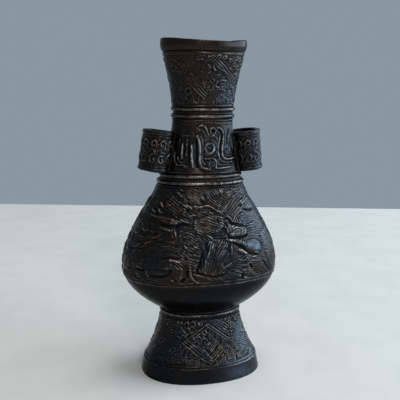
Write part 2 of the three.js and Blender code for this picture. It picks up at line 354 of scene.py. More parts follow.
def beside(path, gap):
    """Every fifth place at a gap to the left, and then to the right, of a path."""
    aside = np.gradient(path, axis=0)[:, ::-1] * (-1, 1)
    aside = gap * aside / np.linalg.norm(aside, axis=1, keepdims=True)
    return list(np.concatenate([path + aside, path - aside])[::5])


def claim(path, gap, taken, around):
    """Marks the cells close to a path as taken, and those in which no other may start."""
    reach = int(gap)
    away = np.hypot(*np.mgrid[-reach : reach + 1, -reach : reach + 1])
    for i, j in path.astype(int):
        square = (slice(j - reach, j + reach + 1), slice(i - reach, i + reach + 1))
        taken[square] |= away < 0.66 * gap
        around[square] |= away < 0.93 * gap


def sunk(height, middle, faint):
    """The height of a line with its middle there, lower in faint ovals (s, z, wide, high,
    share)."""
    for s, z, wide, high, share in faint:
        out = ((middle[0] - s) / wide) ** 2 + ((middle[1] - z) / high) ** 2
        height *= 1 - (1 - share) * smooth(2 * (1 - out))
    return height


def direction(angle, place):
    """Unit step along the angle of the cell at a place."""
    turn = angle[int(place[1]), int(place[0])]
    return np.array([math.cos(turn), math.sin(turn)])


class Canvas:
    """Relief heights over a flat strip: s along the surface and z up, both in millimetres.
    Cover and carved say where ridges and grooves lie, and one more grid where it is
    polished and painted with a blue-grey reflection."""

    PITCH = 0.1
    MARGIN = 17

    def __init__(self, half_width, bottom, top):
        self.corner = np.array([-half_width, bottom])
        columns = int(2 * half_width / self.PITCH) + 1
        rows = int((top - bottom) / self.PITCH) + 1
        self.height, self.cover, self.carved, self.polish_and_painted_sheen = np.zeros((4, rows, columns))

    def window(self, low, high):
        """Slices of the rows and columns between two corners."""
        size = self.height.shape[::-1]
        first = np.clip((low - self.corner) / self.PITCH, 0, size).astype(int)
        last = np.clip((high - self.corner) / self.PITCH + 2, 0, size).astype(int)
        return slice(first[1], last[1]), slice(first[0], last[0])

    def places(self, cells=None):
        """Coordinates s, in a row, and z, in a column, of a window's cells, or of all."""
        rows, columns = cells or (slice(0, size) for size in self.height.shape)
        s = self.corner[0] + self.PITCH * np.arange(columns.start, columns.stop)[None, :]
        z = self.corner[1] + self.PITCH * np.arange(rows.start, rows.stop)[:, None]
        return s, z

    def trace(self, path, half):
        """The cells round a path, and their share from 1 on the path down to 0 at its half
        width away, rounded across."""
        half = np.broadcast_to(half, len(path))
        cells = self.window(path.min(axis=0) - half.max(), path.max(axis=0) + half.max())
        share = np.zeros([one.stop - one.start for one in cells])
        for a, b, reach in zip(path[:-1], path[1:], (half[:-1] + half[1:]) / 2):
            near = self.window(np.minimum(a, b) - reach, np.maximum(a, b) + reach)
            s, z = self.places(near)
            part = tuple(slice(n.start - c.start, n.stop - c.start) for n, c in zip(near, cells))
            along = b - a
            t = ((s - a[0]) * along[0] + (z - a[1]) * along[1]) / max(along @ along, 1e-9)
            t = np.clip(t, 0, 1)
            away = (s - a[0] - t * along[0]) ** 2 + (z - a[1] - t * along[1]) ** 2
            share[part] = np.maximum(share[part], 1 - away / reach**2)
        return cells, share

    def press(self, path, width, height, taper, done):
        """Raises or sinks a rounded line that thins towards its ends, where none is done."""
        path = points_of(path)
        t = np.linspace(0, 1, len(path))
        cells, share = self.trace(path, width / 2 * (1 - taper * (2 * t - 1) ** 2))
        self.height[cells] += height * np.maximum(share - done[cells], 0)
        done[cells] = np.maximum(done[cells], share)

    def ridge(self, path, width, height, taper=0.0):
        """A ridge with straight runs between its points, no higher where it crosses another."""
        self.press(path, width, height, taper, self.cover)

    def strokes(self, paths, width, height, taper=0.2):
        """Smooth ridges through each path."""
        for path in paths:
            self.ridge(curve_through(path), width, height, taper)

    def grooves(self, paths, width, depth):
        """Smooth grooves through each path."""
        for path in paths:
            self.press(curve_through(path), width, -depth, 0.3, self.carved)

    def level_lines(self, heights, width, height):
        """Ridges that run level round the whole band."""
        for z in heights:
            self.ridge((self.corner[0], z, -self.corner[0], z), width, height)

    def parallel(self, start, end, count, pitch, width, height, trim=0.0):
        """Parallel straight ridges beside the line from start to end, each on its left and a
        little shorter at both ends than the one before."""
        start, end = np.array(start), np.array(end)
        along = (end - start) / np.linalg.norm(end - start)
        aside = np.array([-along[1], along[0]])
        for k in range(count):
            a = start + k * (pitch * aside + trim * along)
            b = end + k * (pitch * aside - trim * along)
            self.strokes([(a, b)], width, height, 0.1)

    def lobe(self, outline, height, edge):
        """Raises everything inside a closed outline, rounding off over the edge's width."""
        path = curve_through(outline + outline[:2])
        cells, near = self.trace(path, edge)
        s, z = self.places(cells)
        inside = np.zeros(near.shape, bool)
        for a, b in zip(path[:-1], path[1:]):
            if a[1] != b[1]:
                cut = a[0] + (z - a[1]) * (b[0] - a[0]) / (b[1] - a[1])
                inside ^= ((a[1] > z) != (b[1] > z)) & (s < cut)
        away = np.sqrt(np.clip(1 - near, 0, 1))
        self.height[cells] += height * np.where(inside, np.sqrt(1 - (1 - away) ** 2), 0)

    def comb(self, first, last, count, width, height):
        """Ridges spaced evenly from a first curve to a last one."""
        first, last = curve_through(first), curve_through(last)
        t = np.linspace(0, 1, max(len(first), len(last)))
        first, last = resampled(first, t), resampled(last, t)
        for share in np.linspace(0, 1, count):
            self.ridge(first * (1 - share) + last * share, width, height, 0.6)

    def ring(self, centre, radius, width, height):
        """A round ridge."""
        self.ridge(arc(centre, radius, np.linspace(0, 2 * np.pi, 25)), width, height)

    def spiral(self, centre, radius, turns, start, width, height, flip=1):
        """A scroll that winds in from its radius to its centre. Start is an angle in degrees."""
        t = np.linspace(0, 1, int(14 * turns) + 4)
        turn = math.radians(start) + flip * 2 * np.pi * turns * t
        self.ridge(arc(centre, radius * (1 - 0.85 * t), turn), width, height)

    def fret(self, centre, half, width, height, flip=1):
        """A square key scroll."""
        steps = [(-1, -1), (1, -1), (1, 1), (-0.55, 1), (-0.55, -0.3), (0.35, -0.3), (0.35, 0.35)]
        path = [(centre[0] + flip * half * a, centre[1] + half * b) for a, b in steps]
        self.ridge(path, width, height)

    def diamonds(self, centre, half_across, half_up, count, pitch, width, height):
        """Diamond frames one inside another, at a pitch measured square to their sides."""
        reach = half_across * half_up / math.hypot(half_across, half_up)
        for k in range(count):
            scale = (reach - k * pitch) / reach
            across, up = half_across * scale, half_up * scale
            corners = [(0, up), (across, 0), (0, -up), (-across, 0), (0, up)]
            self.ridge([(centre[0] + a, centre[1] + b) for a, b in corners], width, height)

    def oval(self, centre, across, up):
        """The cells of an oval spot, and their share from 1 in its middle to 0 at its edge."""
        reach = np.array([across, up])
        cells = self.window(centre - reach, centre + reach)
        s, z = self.places(cells)
        away = ((s - centre[0]) / across) ** 2 + ((z - centre[1]) / up) ** 2
        return cells, np.clip(1 - away, 0, 1)

    def dome(self, centre, radius, height):
        """A rounded boss."""
        cells, share = self.oval(centre, radius, radius)
        self.height[cells] += height * np.sqrt(share)

    def polish(self, centre, across, up, amount):
        """Marks an oval spot as rubbed bright with a painted blue-grey reflection, fading out to its
        edge.
        """
        cells, share = self.oval(centre, across, up)
        self.polish_and_painted_sheen[cells] = np.maximum(self.polish_and_painted_sheen[cells], amount * share)

    def fill(self, angle, pitch, length, width, height, seed, quiet=(), faint=()):
        """Evenly spaced ridges that follow the given angles wherever nothing is drawn yet,
        apart from the quiet rounds. Each starts beside an earlier one. They sink in the
        faint ovals."""
        rng = np.random.default_rng(seed)
        gap = pitch / self.PITCH
        taken = self.drawn(quiet)
        around = taken.copy()
        for start in rng.permutation(self.starts(int(1.5 * gap))):
            waiting = [start]
            while waiting:
                place = waiting.pop(0)
                if self.leaves(place) or around[int(place[1]), int(place[0])]:
                    continue
                count = int(length * rng.uniform(0.4, 1.5) / 2 / STRIDE)
                back = self.follow(angle, taken, place, -1, count)
                path = np.array(back[::-1] + self.follow(angle, taken, place, 1, count)[1:])
                if len(path) < 4:
                    around[int(place[1]), int(place[0])] = True
                    continue
                claim(path, gap, taken, around)
                waiting += beside(path, gap)
                points = path * self.PITCH + self.corner
                thick, tall = width * rng.uniform(0.85, 1.15), height * rng.uniform(0.5, 1.25)
                self.ridge(points, thick, sunk(tall, points.mean(axis=0), faint), 0.35)

    def drawn(self, quiet):
        """The cells that hold a drawing already or lie in the quiet rounds (s, z, radius)."""
        marked = (self.cover > 0.1) | (self.carved > 0.4)
        taken = blurred(marked.astype(float), 4) > 0.3
        s, z = self.places()
        for centre_s, centre_z, radius in quiet:
            taken |= (s - centre_s) ** 2 + (z - centre_z) ** 2 < radius**2
        return taken

    def starts(self, step):
        """Places at even steps over the canvas inside its margin."""
        down, across = (range(self.MARGIN, size - self.MARGIN, step) for size in self.height.shape)
        return [(i, j) for j in down for i in across]

    def leaves(self, place):
        """Whether a place, a column and a row, lies in the canvas's margin or beyond."""
        rows, columns = self.height.shape
        low = self.MARGIN
        return not (low < place[0] < columns - low and low < place[1] < rows - low)

    def follow(self, angle, taken, start, sign, count):
        """Places met from a start along the angles, until something drawn is in the way."""
        place = np.array(start, float)
        heading = sign * direction(angle, place)
        path = [place]
        for _ in range(count):
            onward = direction(angle, place)
            heading = onward if onward @ heading > 0 else -onward
            place = place + heading * STRIDE / self.PITCH
            if self.leaves(place) or taken[int(place[1]), int(place[0])]:
                break
            path.append(place)
        return path

    def finish(self, softness=1):
        """Softens the drawing as worn casting does."""
        self.height = blurred(self.height, softness)
        return self

    def sample(self, s, z, grid):
        """Values of one of the canvas's grids at points of the strip, 0 beyond it."""
        rows, columns = grid.shape
        i = (s - self.corner[0]) / self.PITCH
        j = (z - self.corner[1]) / self.PITCH
        inside = (i >= 0) & (i < columns - 1) & (j >= 0) & (j < rows - 1)
        i, j = np.clip(i, 0, columns - 1.001), np.clip(j, 0, rows - 1.001)
        i0, j0 = i.astype(int), j.astype(int)
        found = between(grid, (j0, j0 + 1), (i0, i0 + 1), j - j0, i - i0)
        return np.where(inside, found, 0)


def enlarged(grid, times, canvas):
    """The grid with each value repeated both ways, cut to the canvas's size."""
    rows, columns = canvas.height.shape
    return np.repeat(np.repeat(grid, times, 0), times, 1)[:rows, :columns]


def flow(canvas, samples, reach, wander, seed):
    """Angles over a canvas, blended from samples (s, z, degrees) and wandering a little."""
    s, z = canvas.places()
    s, z = s[:, ::5], z[::5]
    along = np.full((z.size, s.size), 1e-6)
    across = np.zeros((z.size, s.size))
    for place_s, place_z, degrees in samples:
        share = np.exp(-((s - place_s) ** 2 + (z - place_z) ** 2) / (2 * reach**2))
        along += share * math.cos(2 * math.radians(degrees))
        across += share * math.sin(2 * math.radians(degrees))
    angle = 0.5 * np.arctan2(across, along)
    angle += wander * noise(s / 2.4 + 60 + 0 * z, z / 2.4 + 0 * s, 64, seed)
    return enlarged(angle, 5, canvas)


def swirl(canvas, grain, seed):
    """Angles over a canvas that turn at random, with swirls of about the given size."""
    s, z = (canvas.PITCH * np.arange(size)[::3] / grain for size in canvas.height.shape[::-1])
    s, z = np.meshgrid(s, z)
    angle = 2.6 * noise(s, z, 64, seed) + 1.2 * noise(2.1 * s, 2.1 * z, 64, seed + 1)
    return enlarged(angle, 3, canvas)


# Ornament


def mouth_ornament():
    """Lozenge of parallel lines over a ground of small squiggles."""
    canvas = Canvas(MOUTH_RELIEF.half_round / 2, 119.8, 143)
    canvas.level_lines([120.9], 0.7, 0.34)
    canvas.level_lines([142.4], 0.6, 0.2)
    top, left, bottom, right = (0.4, 141.7), (-12.2, 132.2), (-0.6, 122), (12.4, 132)
    canvas.parallel(top, left, 5, 0.98, 0.6, 0.36, 0.2)
    canvas.parallel(left, (-2.6, 123.7), 4, 1.25, 0.72, 0.46, 0.3)
    canvas.parallel(right, top, 3, 1, 0.6, 0.36, 0.2)
    canvas.parallel(bottom, right, 3, 1, 0.56, 0.2, 0.3)
    for side in (-1, 1):
        canvas.diamonds((side * 24.5, 131.9), 11.4, 9.9, 3, 1.1, 0.66, 0.16)
    mouth_scrolls(canvas)
    mouth_corners(canvas)
    canvas.fill(swirl(canvas, 2.3, 201), 0.94, 2.5, 0.56, 0.4, 202)
    # Rubbed spot painted with a blue-grey reflection
    canvas.polish((9, 127), 9, 8, 0.3)
    return canvas.finish()


def mouth_scrolls(canvas):
    """Confronted scrolls in the middle of the lozenge."""
    canvas.strokes([(-1.4, 137.8, -0.6, 137, -0.6, 135.8), (1, 137.6, 1.2, 136.4, 2, 135.6)], 0.95, 0.5)
    canvas.strokes([(4.2, 136, 6.2, 135.2, 7.6, 134, 8.4, 132.4),
        (7.6, 131.3, 5.6, 131.6, 3.6, 131, 2.8, 129.8, 3.8, 128.8, 7.4, 129)], 0.85, 0.5)
    canvas.strokes([(7, 130, 4.8, 130), (3, 127.4, 4.8, 127.9, 6.6, 127.7, 7.8, 126.8)], 0.75, 0.42)
    canvas.ring((0.9, 131.4), 0.9, 0.6, 0.44)
    canvas.fret((-5, 133.8), 1.2, 0.55, 0.4)
    canvas.fret((-2, 133.2), 1, 0.55, 0.36, -1)
    canvas.strokes([(-7.2, 131.6, -6.6, 130.2, -5.4, 128.9),
        (-3.2, 130.8, -2.8, 129.4, -2.9, 128.2)], 0.85, 0.5)


def mouth_corners(canvas):
    """Boss, hook and curls in the corners."""
    canvas.ring((-10.2, 127), 1.4, 1.1, 0.36)
    canvas.strokes([(-8, 124.9, -7.6, 122.9, -6.4, 122.2, -5.4, 123, -5.2, 124.6)], 0.85, 0.34)
    canvas.strokes([(-12.2, 124.8, -10.6, 123.4, -9.4, 122.4)], 0.8, 0.3)
    for x, z in ((2.9, 141), (5.6, 140.6), (8.4, 139.4), (10.7, 137.6), (13, 136.6), (13.4, 139.8)):
        canvas.spiral((x, z), 1.2, 1.1, 200, 0.6, 0.42, -1)
    for x, z in ((-5.4, 140.9), (-8.6, 139), (-12, 137.4), (-13.8, 134.4), (-13.8, 128)):
        canvas.spiral((x, z), 1.2, 1.1, -20, 0.6, 0.36)
    for x, z in ((4.4, 123), (7.6, 124), (10.6, 126), (10.6, 122.9), (13.4, 128)):
        canvas.spiral((x, z), 1.15, 1.1, 120, 0.58, 0.4)


def neck_ornament():
    """Archaic hooked mask between the ears: tall hooks either side of a ringed boss."""
    canvas = Canvas(NECK_RELIEF.half_round / 2, 92.3, 116.2)
    canvas.level_lines([92.8, 114.8], 0.7, 0.3)
    canvas.level_lines([113.4, 115.8], 0.5, 0.18)
    canvas.ring((0.5, 103), 2, 1.8, 0.55)
    canvas.dome((0.2, 103), 1, 0.4)
    neck_hooks(canvas)
    neck_curls(canvas)
    neck_bars(canvas)
    for step in range(4):
        bend = [(13.6, 112.6 - 0.4 * step), (12.9, 109.4), (12.5, 105.6), (12.9, 102.4)]
        canvas.strokes([[(x + step, z) for x, z in bend]], 0.6, 0.32)
    for x in (15.9, 17.6):
        canvas.strokes([(-x, 110, 0.2 - x, 103, -x, 96)], 0.8, 0.34)
    for x in (-6.6, -5, -3.4, -1.9, -0.4, 1.2, 2.8):
        canvas.strokes([(x, 114.3, x + 0.7, 113.7)], 0.55, 0.3)
    canvas.fill(swirl(canvas, 4.5, 301), 1.5, 2.2, 0.6, 0.14, 302, [(-8.9, 103, 2.2), (0.7, 103, 3)])
    # Rubbed spot painted with a blue-grey reflection
    canvas.polish((5, 103), 11, 11, 0.18)
    return canvas.finish()


def neck_hooks(canvas):
    """Tall hooks left and right of the boss, the second turned half round."""
    left_hook = (-5.3, 108.3, -4.4, 106.8, -3.9, 104, -3.8, 99, -3.5, 96.8, -2.4, 95.2, 0.2, 94.4)
    left_inner = (-3.7, 108.2, -2.9, 106.4, -2.8, 103.5, -2.8, 99.2, -2.4, 97.2, -1.6, 96.3)
    right_hook = (4.4, 111.9, 6.2, 111.1, 7.2, 109.6, 7.2, 107.2, 6.6, 104.2, 6.1, 101.6, 6.1, 100, 6.8,
        98.7, 8.2, 98.3, 12, 98.5)
    right_inner = (4.3, 110.6, 5.3, 109.2, 5.3, 107, 4.7, 104, 4.5, 99.8, 5.2, 97.8, 7.2, 97, 11, 97)
    canvas.strokes([left_hook, right_hook], 1.6, 0.8, 0.1)
    canvas.strokes([left_inner, right_inner], 0.85, 0.5, 0.1)
    canvas.grooves([(-5.4, 106.3, -5.1, 102, -5, 98.2, -4.5, 95.3)], 1.3, 0.45)
    canvas.grooves([(5.2, 111, 6.2, 109, 6, 106.4, 5.4, 103.4, 5.3, 100.4)], 0.9, 0.35)


def neck_curls(canvas):
    """Hooked curls above and below the boss."""
    upper_curl = (-4.4, 112.5, -2.8, 112.6, -1.3, 111.4, -0.5, 109.6, 0.5, 108.3, 2.6, 108.2)
    canvas.strokes([upper_curl], 1.35, 0.62)
    canvas.strokes([(-4.4, 111, -3.2, 110.9, -2.2, 109.8, -1.4, 108.4, -0.2, 107.4)], 0.9, 0.44)
    canvas.ring((2.2, 110.3), 1.4, 0.75, 0.5)
    canvas.grooves([(1.9, 110.4, 2.5, 110.1)], 1.1, 0.4)
    canvas.lobe((-6.2, 111.8, -4.8, 112.3, -3.6, 110.6, -4.6, 109.6, -6, 110.2), 0.3, 0.9)
    lower_curl = (-1.6, 98.8, 0, 98.6, 1.6, 98.9, 2.8, 98, 3.1, 96.4, 3, 94.9, 5, 94.6, 10, 94.9)
    canvas.strokes([lower_curl], 0.95, 0.55)
    canvas.strokes([(3.9, 98.2, 4.2, 96.2, 6, 95.8, 10.4, 95.9)], 0.6, 0.36)
    canvas.ring((1.1, 96.4), 1.1, 0.7, 0.48)
    canvas.dome((1.1, 96.4), 0.5, 0.3)
    canvas.strokes([(-2.3, 104.8, -2.4, 102.2, -1.6, 100.5, -0.2, 99.9)], 0.6, 0.4)
    canvas.strokes([(3.7, 100.9, 3.9, 103.2, 3.3, 105, 1.9, 106)], 0.6, 0.4)


def neck_bars(canvas):
    """Nested U of bars on the left and its turned twin on the right."""
    canvas.strokes([(-11.3, 104.9, -10.9, 101, -10.5, 98.6),
        (-7.4, 104.3, -7.1, 101, -6.8, 98.4, -6.1, 95.2)], 1.15, 0.66)
    canvas.strokes([(-12.4, 99.4, -11.8, 97.8, -10.8, 97.1, -9.6, 97.2),
        (-11.3, 95.9, -9.6, 96, -8.4, 95.2)], 0.65, 0.42)
    canvas.strokes([(-14.3, 101.2, -13.9, 98.9, -13.2, 97, -12, 95.9)], 0.9, 0.55)
    canvas.strokes([(-12.6, 108.3, -9.2, 108.5, -6, 108.3),
        (-9.4, 106.6, -9.2, 102.6, -8.9, 99.6)], 0.6, 0.34)
    canvas.strokes([(-12.9, 107.2, -12.7, 103.5, -12.6, 101.6)], 0.6, 0.34)
    canvas.grooves([(11, 110.8, 10, 108, 9.2, 104.6), (8.4, 102.6, 9, 102.4)], 1, 0.45)
    canvas.strokes([(11.9, 110.6, 11.1, 108, 10.2, 105.2),
        (8, 104.4, 7.6, 102.4, 8.2, 101, 9.8, 100.6)], 0.75, 0.42)
    canvas.strokes([(10.2, 104.2, 10.5, 102.6, 9.9, 101.2),
        (7.8, 99.8, 9.6, 99.6, 12.6, 99.7)], 0.65, 0.4)


# Frets of the foot, each with its place round it, height and the way it turns, and hooks
FOOT_FRETS = [
    (-4.6, 17.2, 1), (4.9, 19.4, -1), (5.2, 15.2, -1), (2.2, 12.4, 1), (-8, 16.6, 1), (7.4, 17.6, -1),
    (-6.2, 18.6, -1), (-3.4, 13.4, 1), (1.6, 21, -1), (-0.6, 10.6, 1),
]
FOOT_CORNER_FRETS = [
    (-15.6, 9.6, 1), (-13.4, 12, 1), (-11.2, 10.4, 1), (-8.4, 12.6, 1), (-9.2, 9.4, 1), (-5.8, 9.2, 1),
    (-16.8, 11.6, 1), (10.6, 11.6, -1), (8.2, 10.2, -1), (5.6, 9.2, -1), (12.9, 9.8, -1),
    (3.2, 8.6, -1), (13.4, 13.4, -1),
]
FOOT_HOOKS = [
    (-12.6, 25.2, -11.2, 26.4, -10, 25.4, -10.6, 24), (-8.4, 26.8, -7, 26.2, -7.2, 24.6, -8.8, 24.2),
    (-15, 24.2, -13.4, 23.4, -13.8, 21.6), (-11.4, 23.6, -9.8, 23.6, -9.4, 22),
    (-15.8, 20.4, -14.2, 19.4), (-12, 20.6, -11, 19.4), (-5.2, 26, -4.4, 24.8),
    (-16.6, 26.6, -15.2, 25.8),
]


def foot_ornament():
    """Lozenge of parallel lines filled with small frets, between fretted corners."""
    canvas = Canvas(FOOT_RELIEF.half_round / 2, 4.8, 28.6)
    canvas.level_lines([6.5, 7.6], 0.6, 0.34)
    canvas.level_lines([27.8], 0.5, 0.2)
    top, left, bottom, right = (-0.2, 25.2), (-12.8, 17.4), (-0.3, 8.4), (10.8, 17.6)
    canvas.parallel(top, left, 2, 1.2, 0.7, 0.42, 0.3)
    canvas.parallel(left, bottom, 3, 1.1, 0.72, 0.5, 0.3)
    canvas.parallel(right, top, 2, 1.1, 0.7, 0.44, 0.3)
    canvas.parallel(bottom, right, 3, 1, 0.6, 0.4, 0.3)
    for side in (-1, 1):
        canvas.diamonds((-0.8 + side * 25.5, 17.2), 12, 8.6, 3, 1.05, 0.62, 0.16)
    foot_middle(canvas)
    foot_corners(canvas)
    canvas.fill(swirl(canvas, 2.2, 401), 0.94, 2.4, 0.56, 0.42, 402)
    # Rubbed spot painted with a blue-grey reflection
    canvas.polish((21, 16), 9, 12, 0.6)
    return canvas.finish()


def foot_middle(canvas):
    """Small frets round nested chevrons in the middle of the lozenge."""
    for step in range(3):
        reach = 1.9 + 1.05 * step
        chevron = (0.1, 16.9 + reach, 0.1 + 1.05 * reach, 16.9, 0.1, 16.9 - reach)
        canvas.ridge(chevron, 0.55, 0.42)
    canvas.ridge((-0.6, 18.6, -2.4, 16.9, -0.6, 15.2), 0.6, 0.42)
    canvas.dome((-0.4, 16.9), 1, 0.22)
    canvas.strokes([(-6.6, 16.2, -4.2, 15, -2, 13.4, -0.6, 12),
        (-5.2, 20.2, -3.8, 19.2, -2.6, 18.7)], 0.75, 0.46)
    canvas.strokes([(-1.8, 22.6, -0.9, 21.2), (-7.7, 19.8, -7.2, 18.6),
        (-3.2, 21.8, -2.6, 20.8)], 0.9, 0.5)
    for x, z, flip in FOOT_FRETS:
        canvas.fret((x, z), 0.95, 0.5, 0.42, flip)


def foot_corners(canvas):
    """Chevrons, frets, hooks and curls in the corners."""
    for step in range(4):
        out = 1.05 * step
        upper, middle = (1.6 + out, 26.4 + 0.1 * out), (6 + 0.9 * out, 22.6 + 0.75 * out)
        canvas.strokes([(upper, middle, (8.8 + out, 20.6 + 0.7 * out))], 0.56, 0.36, 0)
    for x, z, flip in FOOT_CORNER_FRETS:
        canvas.fret((x, z), 0.95, 0.5, 0.34, flip)
    canvas.strokes(FOOT_HOOKS, 0.85, 0.36)
    canvas.strokes([(-20, 10.8, -17.6, 12.2, -15.2, 13.8, -11.4, 14.6)], 0.7, 0.28)
    for x, z in ((12.4, 24.8), (14.6, 22.4), (13, 19.8), (15.2, 16.6), (16.6, 25.4)):
        canvas.spiral((x, z), 1.15, 1.1, 30, 0.58, 0.4, -1)


# Raised forms of the body: height, width of the edge and outline
BODY_FORMS = [
    (0.2, 2.2, (-6, 82.5, -3, 85, 4, 86.2, 11, 86, 14, 83, 11, 79.5, 7.5, 76.2, 2, 77.4, -3, 79.4)),
    (0.42, 2.2, (-2.8, 66, 0.6, 65.9, 4.8, 65.2, 6, 63, 4.6, 59, 3.8, 56, 4.8, 52.6, 1.6, 50.6, -2.8,
     50.6, -5.2, 53, -4.4, 57, -2.6, 62)),
    (0.55, 3, (9.4, 64.6, 13.6, 64.4, 18.4, 64.6, 21.8, 63.2, 22.4, 61, 21.8, 58.7, 19.4, 58.1, 16.2,
     59.5, 12.6, 62)),
    (0.35, 0.9, (5.2, 66, 8, 66.1, 11, 65.3, 14, 63.9, 12.8, 62.5, 10, 63.9, 7, 65)),
    (0.5, 1.4, (7.2, 72.4, 10.4, 71, 14.6, 70.4, 16.6, 69, 15.8, 67, 12, 66.3, 8, 66.6, 6.2, 68.6)),
    (0.4, 0.8, (9.6, 61, 11.4, 61.6, 13.6, 60.4, 14.8, 58.8, 12, 59)),
    (0.28, 1.3, (-9, 73.6, -2, 75.6, 4.6, 75, 5.4, 71.4, 2, 68.6, -4, 68.4, -8.6, 69.6)),
    (0.26, 1.3, (-25, 83, -18, 84.6, -13.4, 81, -12.4, 78, -15, 76, -20, 76.6, -26, 79)),
    (0.26, 1.1, (-27, 75.6, -21, 75.2, -16.4, 73.2, -17.4, 71.6, -23, 72.2, -27.4, 73.4)),
    (0.24, 1.1, (-25, 71.4, -19.4, 70.6, -16.6, 68.2, -19, 65.4, -24, 66.2)),
    (0.32, 1.5, (-34.6, 60.2, -31, 61.2, -28, 59.4, -27.4, 55, -30, 53.2, -33.6, 54)),
    (0.3, 2, (-41, 60.4, -36.4, 60.6, -34, 57, -33.8, 53.6, -36, 51, -41, 51.6)),
    (0.3, 1.2, (-21, 58, -16.6, 58, -16, 54.4, -20, 53.6, -22, 55.6)),
    (0.3, 1, (-15.8, 55, -12.2, 54.4, -11.8, 50.6, -14.4, 49.8, -16.2, 51.6)),
    (0.28, 1.4, (24, 66, 33, 68, 38, 62, 36, 53, 28, 50, 24.5, 56)),
    (0.28, 1.3, (19, 80.4, 27, 81.6, 33, 79.4, 30, 76.2, 22, 76.4)),
]

# Cloud scrolls on the two narrow sides: place round the body, height, radius and turn
CLOUD_SCROLLS = [
    (39.4, 83, 1.7, 1), (38.3, 76, 2.7, -1), (40, 67.4, 1.9, 1), (38.8, 60.6, 2.9, -1),
    (39.2, 51.6, 2.2, 1),
]

# Edges, finer lines, deep grooves and short dark grooves of the birds
BODY_BOLD = [
    (-9.4, 79.3, -6.2, 78.9, -3.2, 79.3, -0.6, 79, 2.4, 77.4, 6.4, 75.5),
    (-11.8, 75.3, -10, 75.6, -7.8, 75.7), (-22.4, 84.6, -20, 84.5, -17.4, 83.1),
    (-18.4, 81, -15, 79.5, -12.4, 79.3, -10.4, 78.4), (-29.6, 80.2, -27.8, 79.1, -26.4, 78.6),
    (-24.2, 79.6, -22.4, 79.2), (-33.2, 77, -30.2, 76.2), (-29.2, 77.8, -27.4, 76.6, -25.8, 76.4),
    (-33, 75.3, -29.4, 74.7, -26.2, 74.6, -22, 74.2, -19, 73.5, -17, 72.5),
    (-24.2, 73.4, -20.2, 72.8, -18, 72.3), (-24, 70.7, -21.6, 70, -19.2, 69.6),
    (-17.6, 70.4, -16.4, 68.4, -16, 67.2),
    (-36.4, 71.2, -34.4, 70.4, -33, 69.1, -31.2, 68.5, -29.6, 69.2), (-28.2, 68.6, -26, 68.4),
    (-26.4, 66, -24.4, 66.7, -23, 67.8), (-17.6, 58.1, -15.2, 57.5, -13.2, 57), (-25.9, 52.2, -25, 50),
    (-16.8, 49.8, -15, 48.8), (-30.2, 53.8, -28, 53), (-3.2, 68, -1.6, 67.1, 0, 65.7, 1.8, 65.6),
    (3.2, 54.2, 5.2, 54.7, 6.8, 55.6), (-3.7, 57.2, -3.9, 54.4), (5.4, 65.4, 6.8, 65.3, 8.2, 64.4),
    (7.5, 63.2, 7.4, 61, 7.1, 59.3), (5.8, 70.8, 6.6, 69.7, 6.4, 68.4), (-8.4, 63.3, -6.4, 62.6),
    (-8.4, 60.1, -6, 59.4), (-12.2, 64, -11, 62.4), (6.8, 74.8, 8.6, 74.9, 10.2, 73.4),
    (12.4, 63.6, 13.4, 62.8, 15, 62.5), (-9.6, 54.2, -9, 51.4, -8, 49.2, -6.2, 48.2),
    (-36, 61.4, -33.6, 61.5, -31.6, 62.2),
]
BODY_FINE = [
    (8.6, 70.2, 11, 71.2, 14, 70.8, 15.9, 69.4, 15.4, 67.6, 13, 66.8),
    (9.4, 69.4, 11.4, 70.1, 13.6, 69.6, 14.2, 68.4, 12.8, 67.7), (10.2, 68.6, 11.6, 69, 12.6, 68.6),
    (7, 72.2, 7.8, 70.4, 8, 68.6), (10.2, 57.2, 12, 56.2, 14.2, 57.3),
    (10, 54.4, 12.2, 54.1, 14.2, 54.6), (8, 52.5, 11, 52.2, 14, 52.6),
    (-8.2, 51.8, -6, 51.2, -3.8, 50.4),
]
BODY_DEEP = [
    (6.9, 74.1, 8.6, 73.3, 10, 71.8, 12.4, 71.2, 15.6, 70.5),
    (7, 65, 10, 63.1, 12.2, 61.5, 14, 59.8, 16, 58.4, 19.4, 57.9),
    (6.8, 66.5, 10, 66, 14, 66, 16.4, 66.7), (21.6, 54.6, 24, 51.2, 26.6, 48.6),
    (-4.6, 61.4, -5.4, 58, -6.4, 54.6, -7, 52.6), (-7, 52.4, -3.6, 51.4, 0.6, 50.2, 4.2, 51.4),
    (-24, 50.6, -20, 50.6, -17, 52, -16.4, 53.8), (19.6, 77, 23.6, 76.1, 27.4, 76.4),
]
BODY_DARK = [
    (-5.6, 81.9, -4.2, 80.8), (-4, 83.9, -2.8, 82.6), (11.4, 50.6, 11.2, 48.6),
    (15.2, 54.2, 15.6, 52.6), (-17, 71.3, -14.2, 72.2, -11.6, 72.2), (-29.6, 52.6, -27, 52.4),
    (2.6, 74, 2.8, 72.4), (-11, 50.4, -12.4, 48.8), (-10.2, 53.4, -10, 51), (-13.6, 78.2, -12.2, 77.2),
    (17.4, 78.6, 20, 78.9),
]

# Combed feathers: first and last curve, count, width and height
BODY_COMBS = [
    ((-4.6, 82.4, -1.6, 79.9, 3, 77.6, 6.2, 76.4), (9.4, 86.2, 11, 84.4, 12.2, 82.2, 12, 80), 11, 0.64,
     0.56),
    ((7.6, 77.6, 11, 79.8, 16, 82.2, 21, 83.8), (10.4, 74.8, 14.6, 77.2, 19.6, 79.2, 26, 80.6), 5, 0.6,
     0.36),
    ((-26, 83.6, -21, 81.8, -15.5, 79.4), (-26.4, 78.4, -22, 76.8, -17, 74.6), 6, 0.6, 0.52),
    ((-15, 83.4, -11.4, 82), (-14.6, 79.2, -12.6, 78.4), 4, 0.58, 0.36),
    ((3, 51.2, 5.6, 49.2, 8.6, 48.6), (6.8, 51.8, 8.8, 50.4, 11.2, 49.8), 5, 0.6, 0.4),
    ((-10.8, 58.8, -7.4, 57.6), (-9.8, 50.6, -8.6, 50), 8, 0.6, 0.4),
]
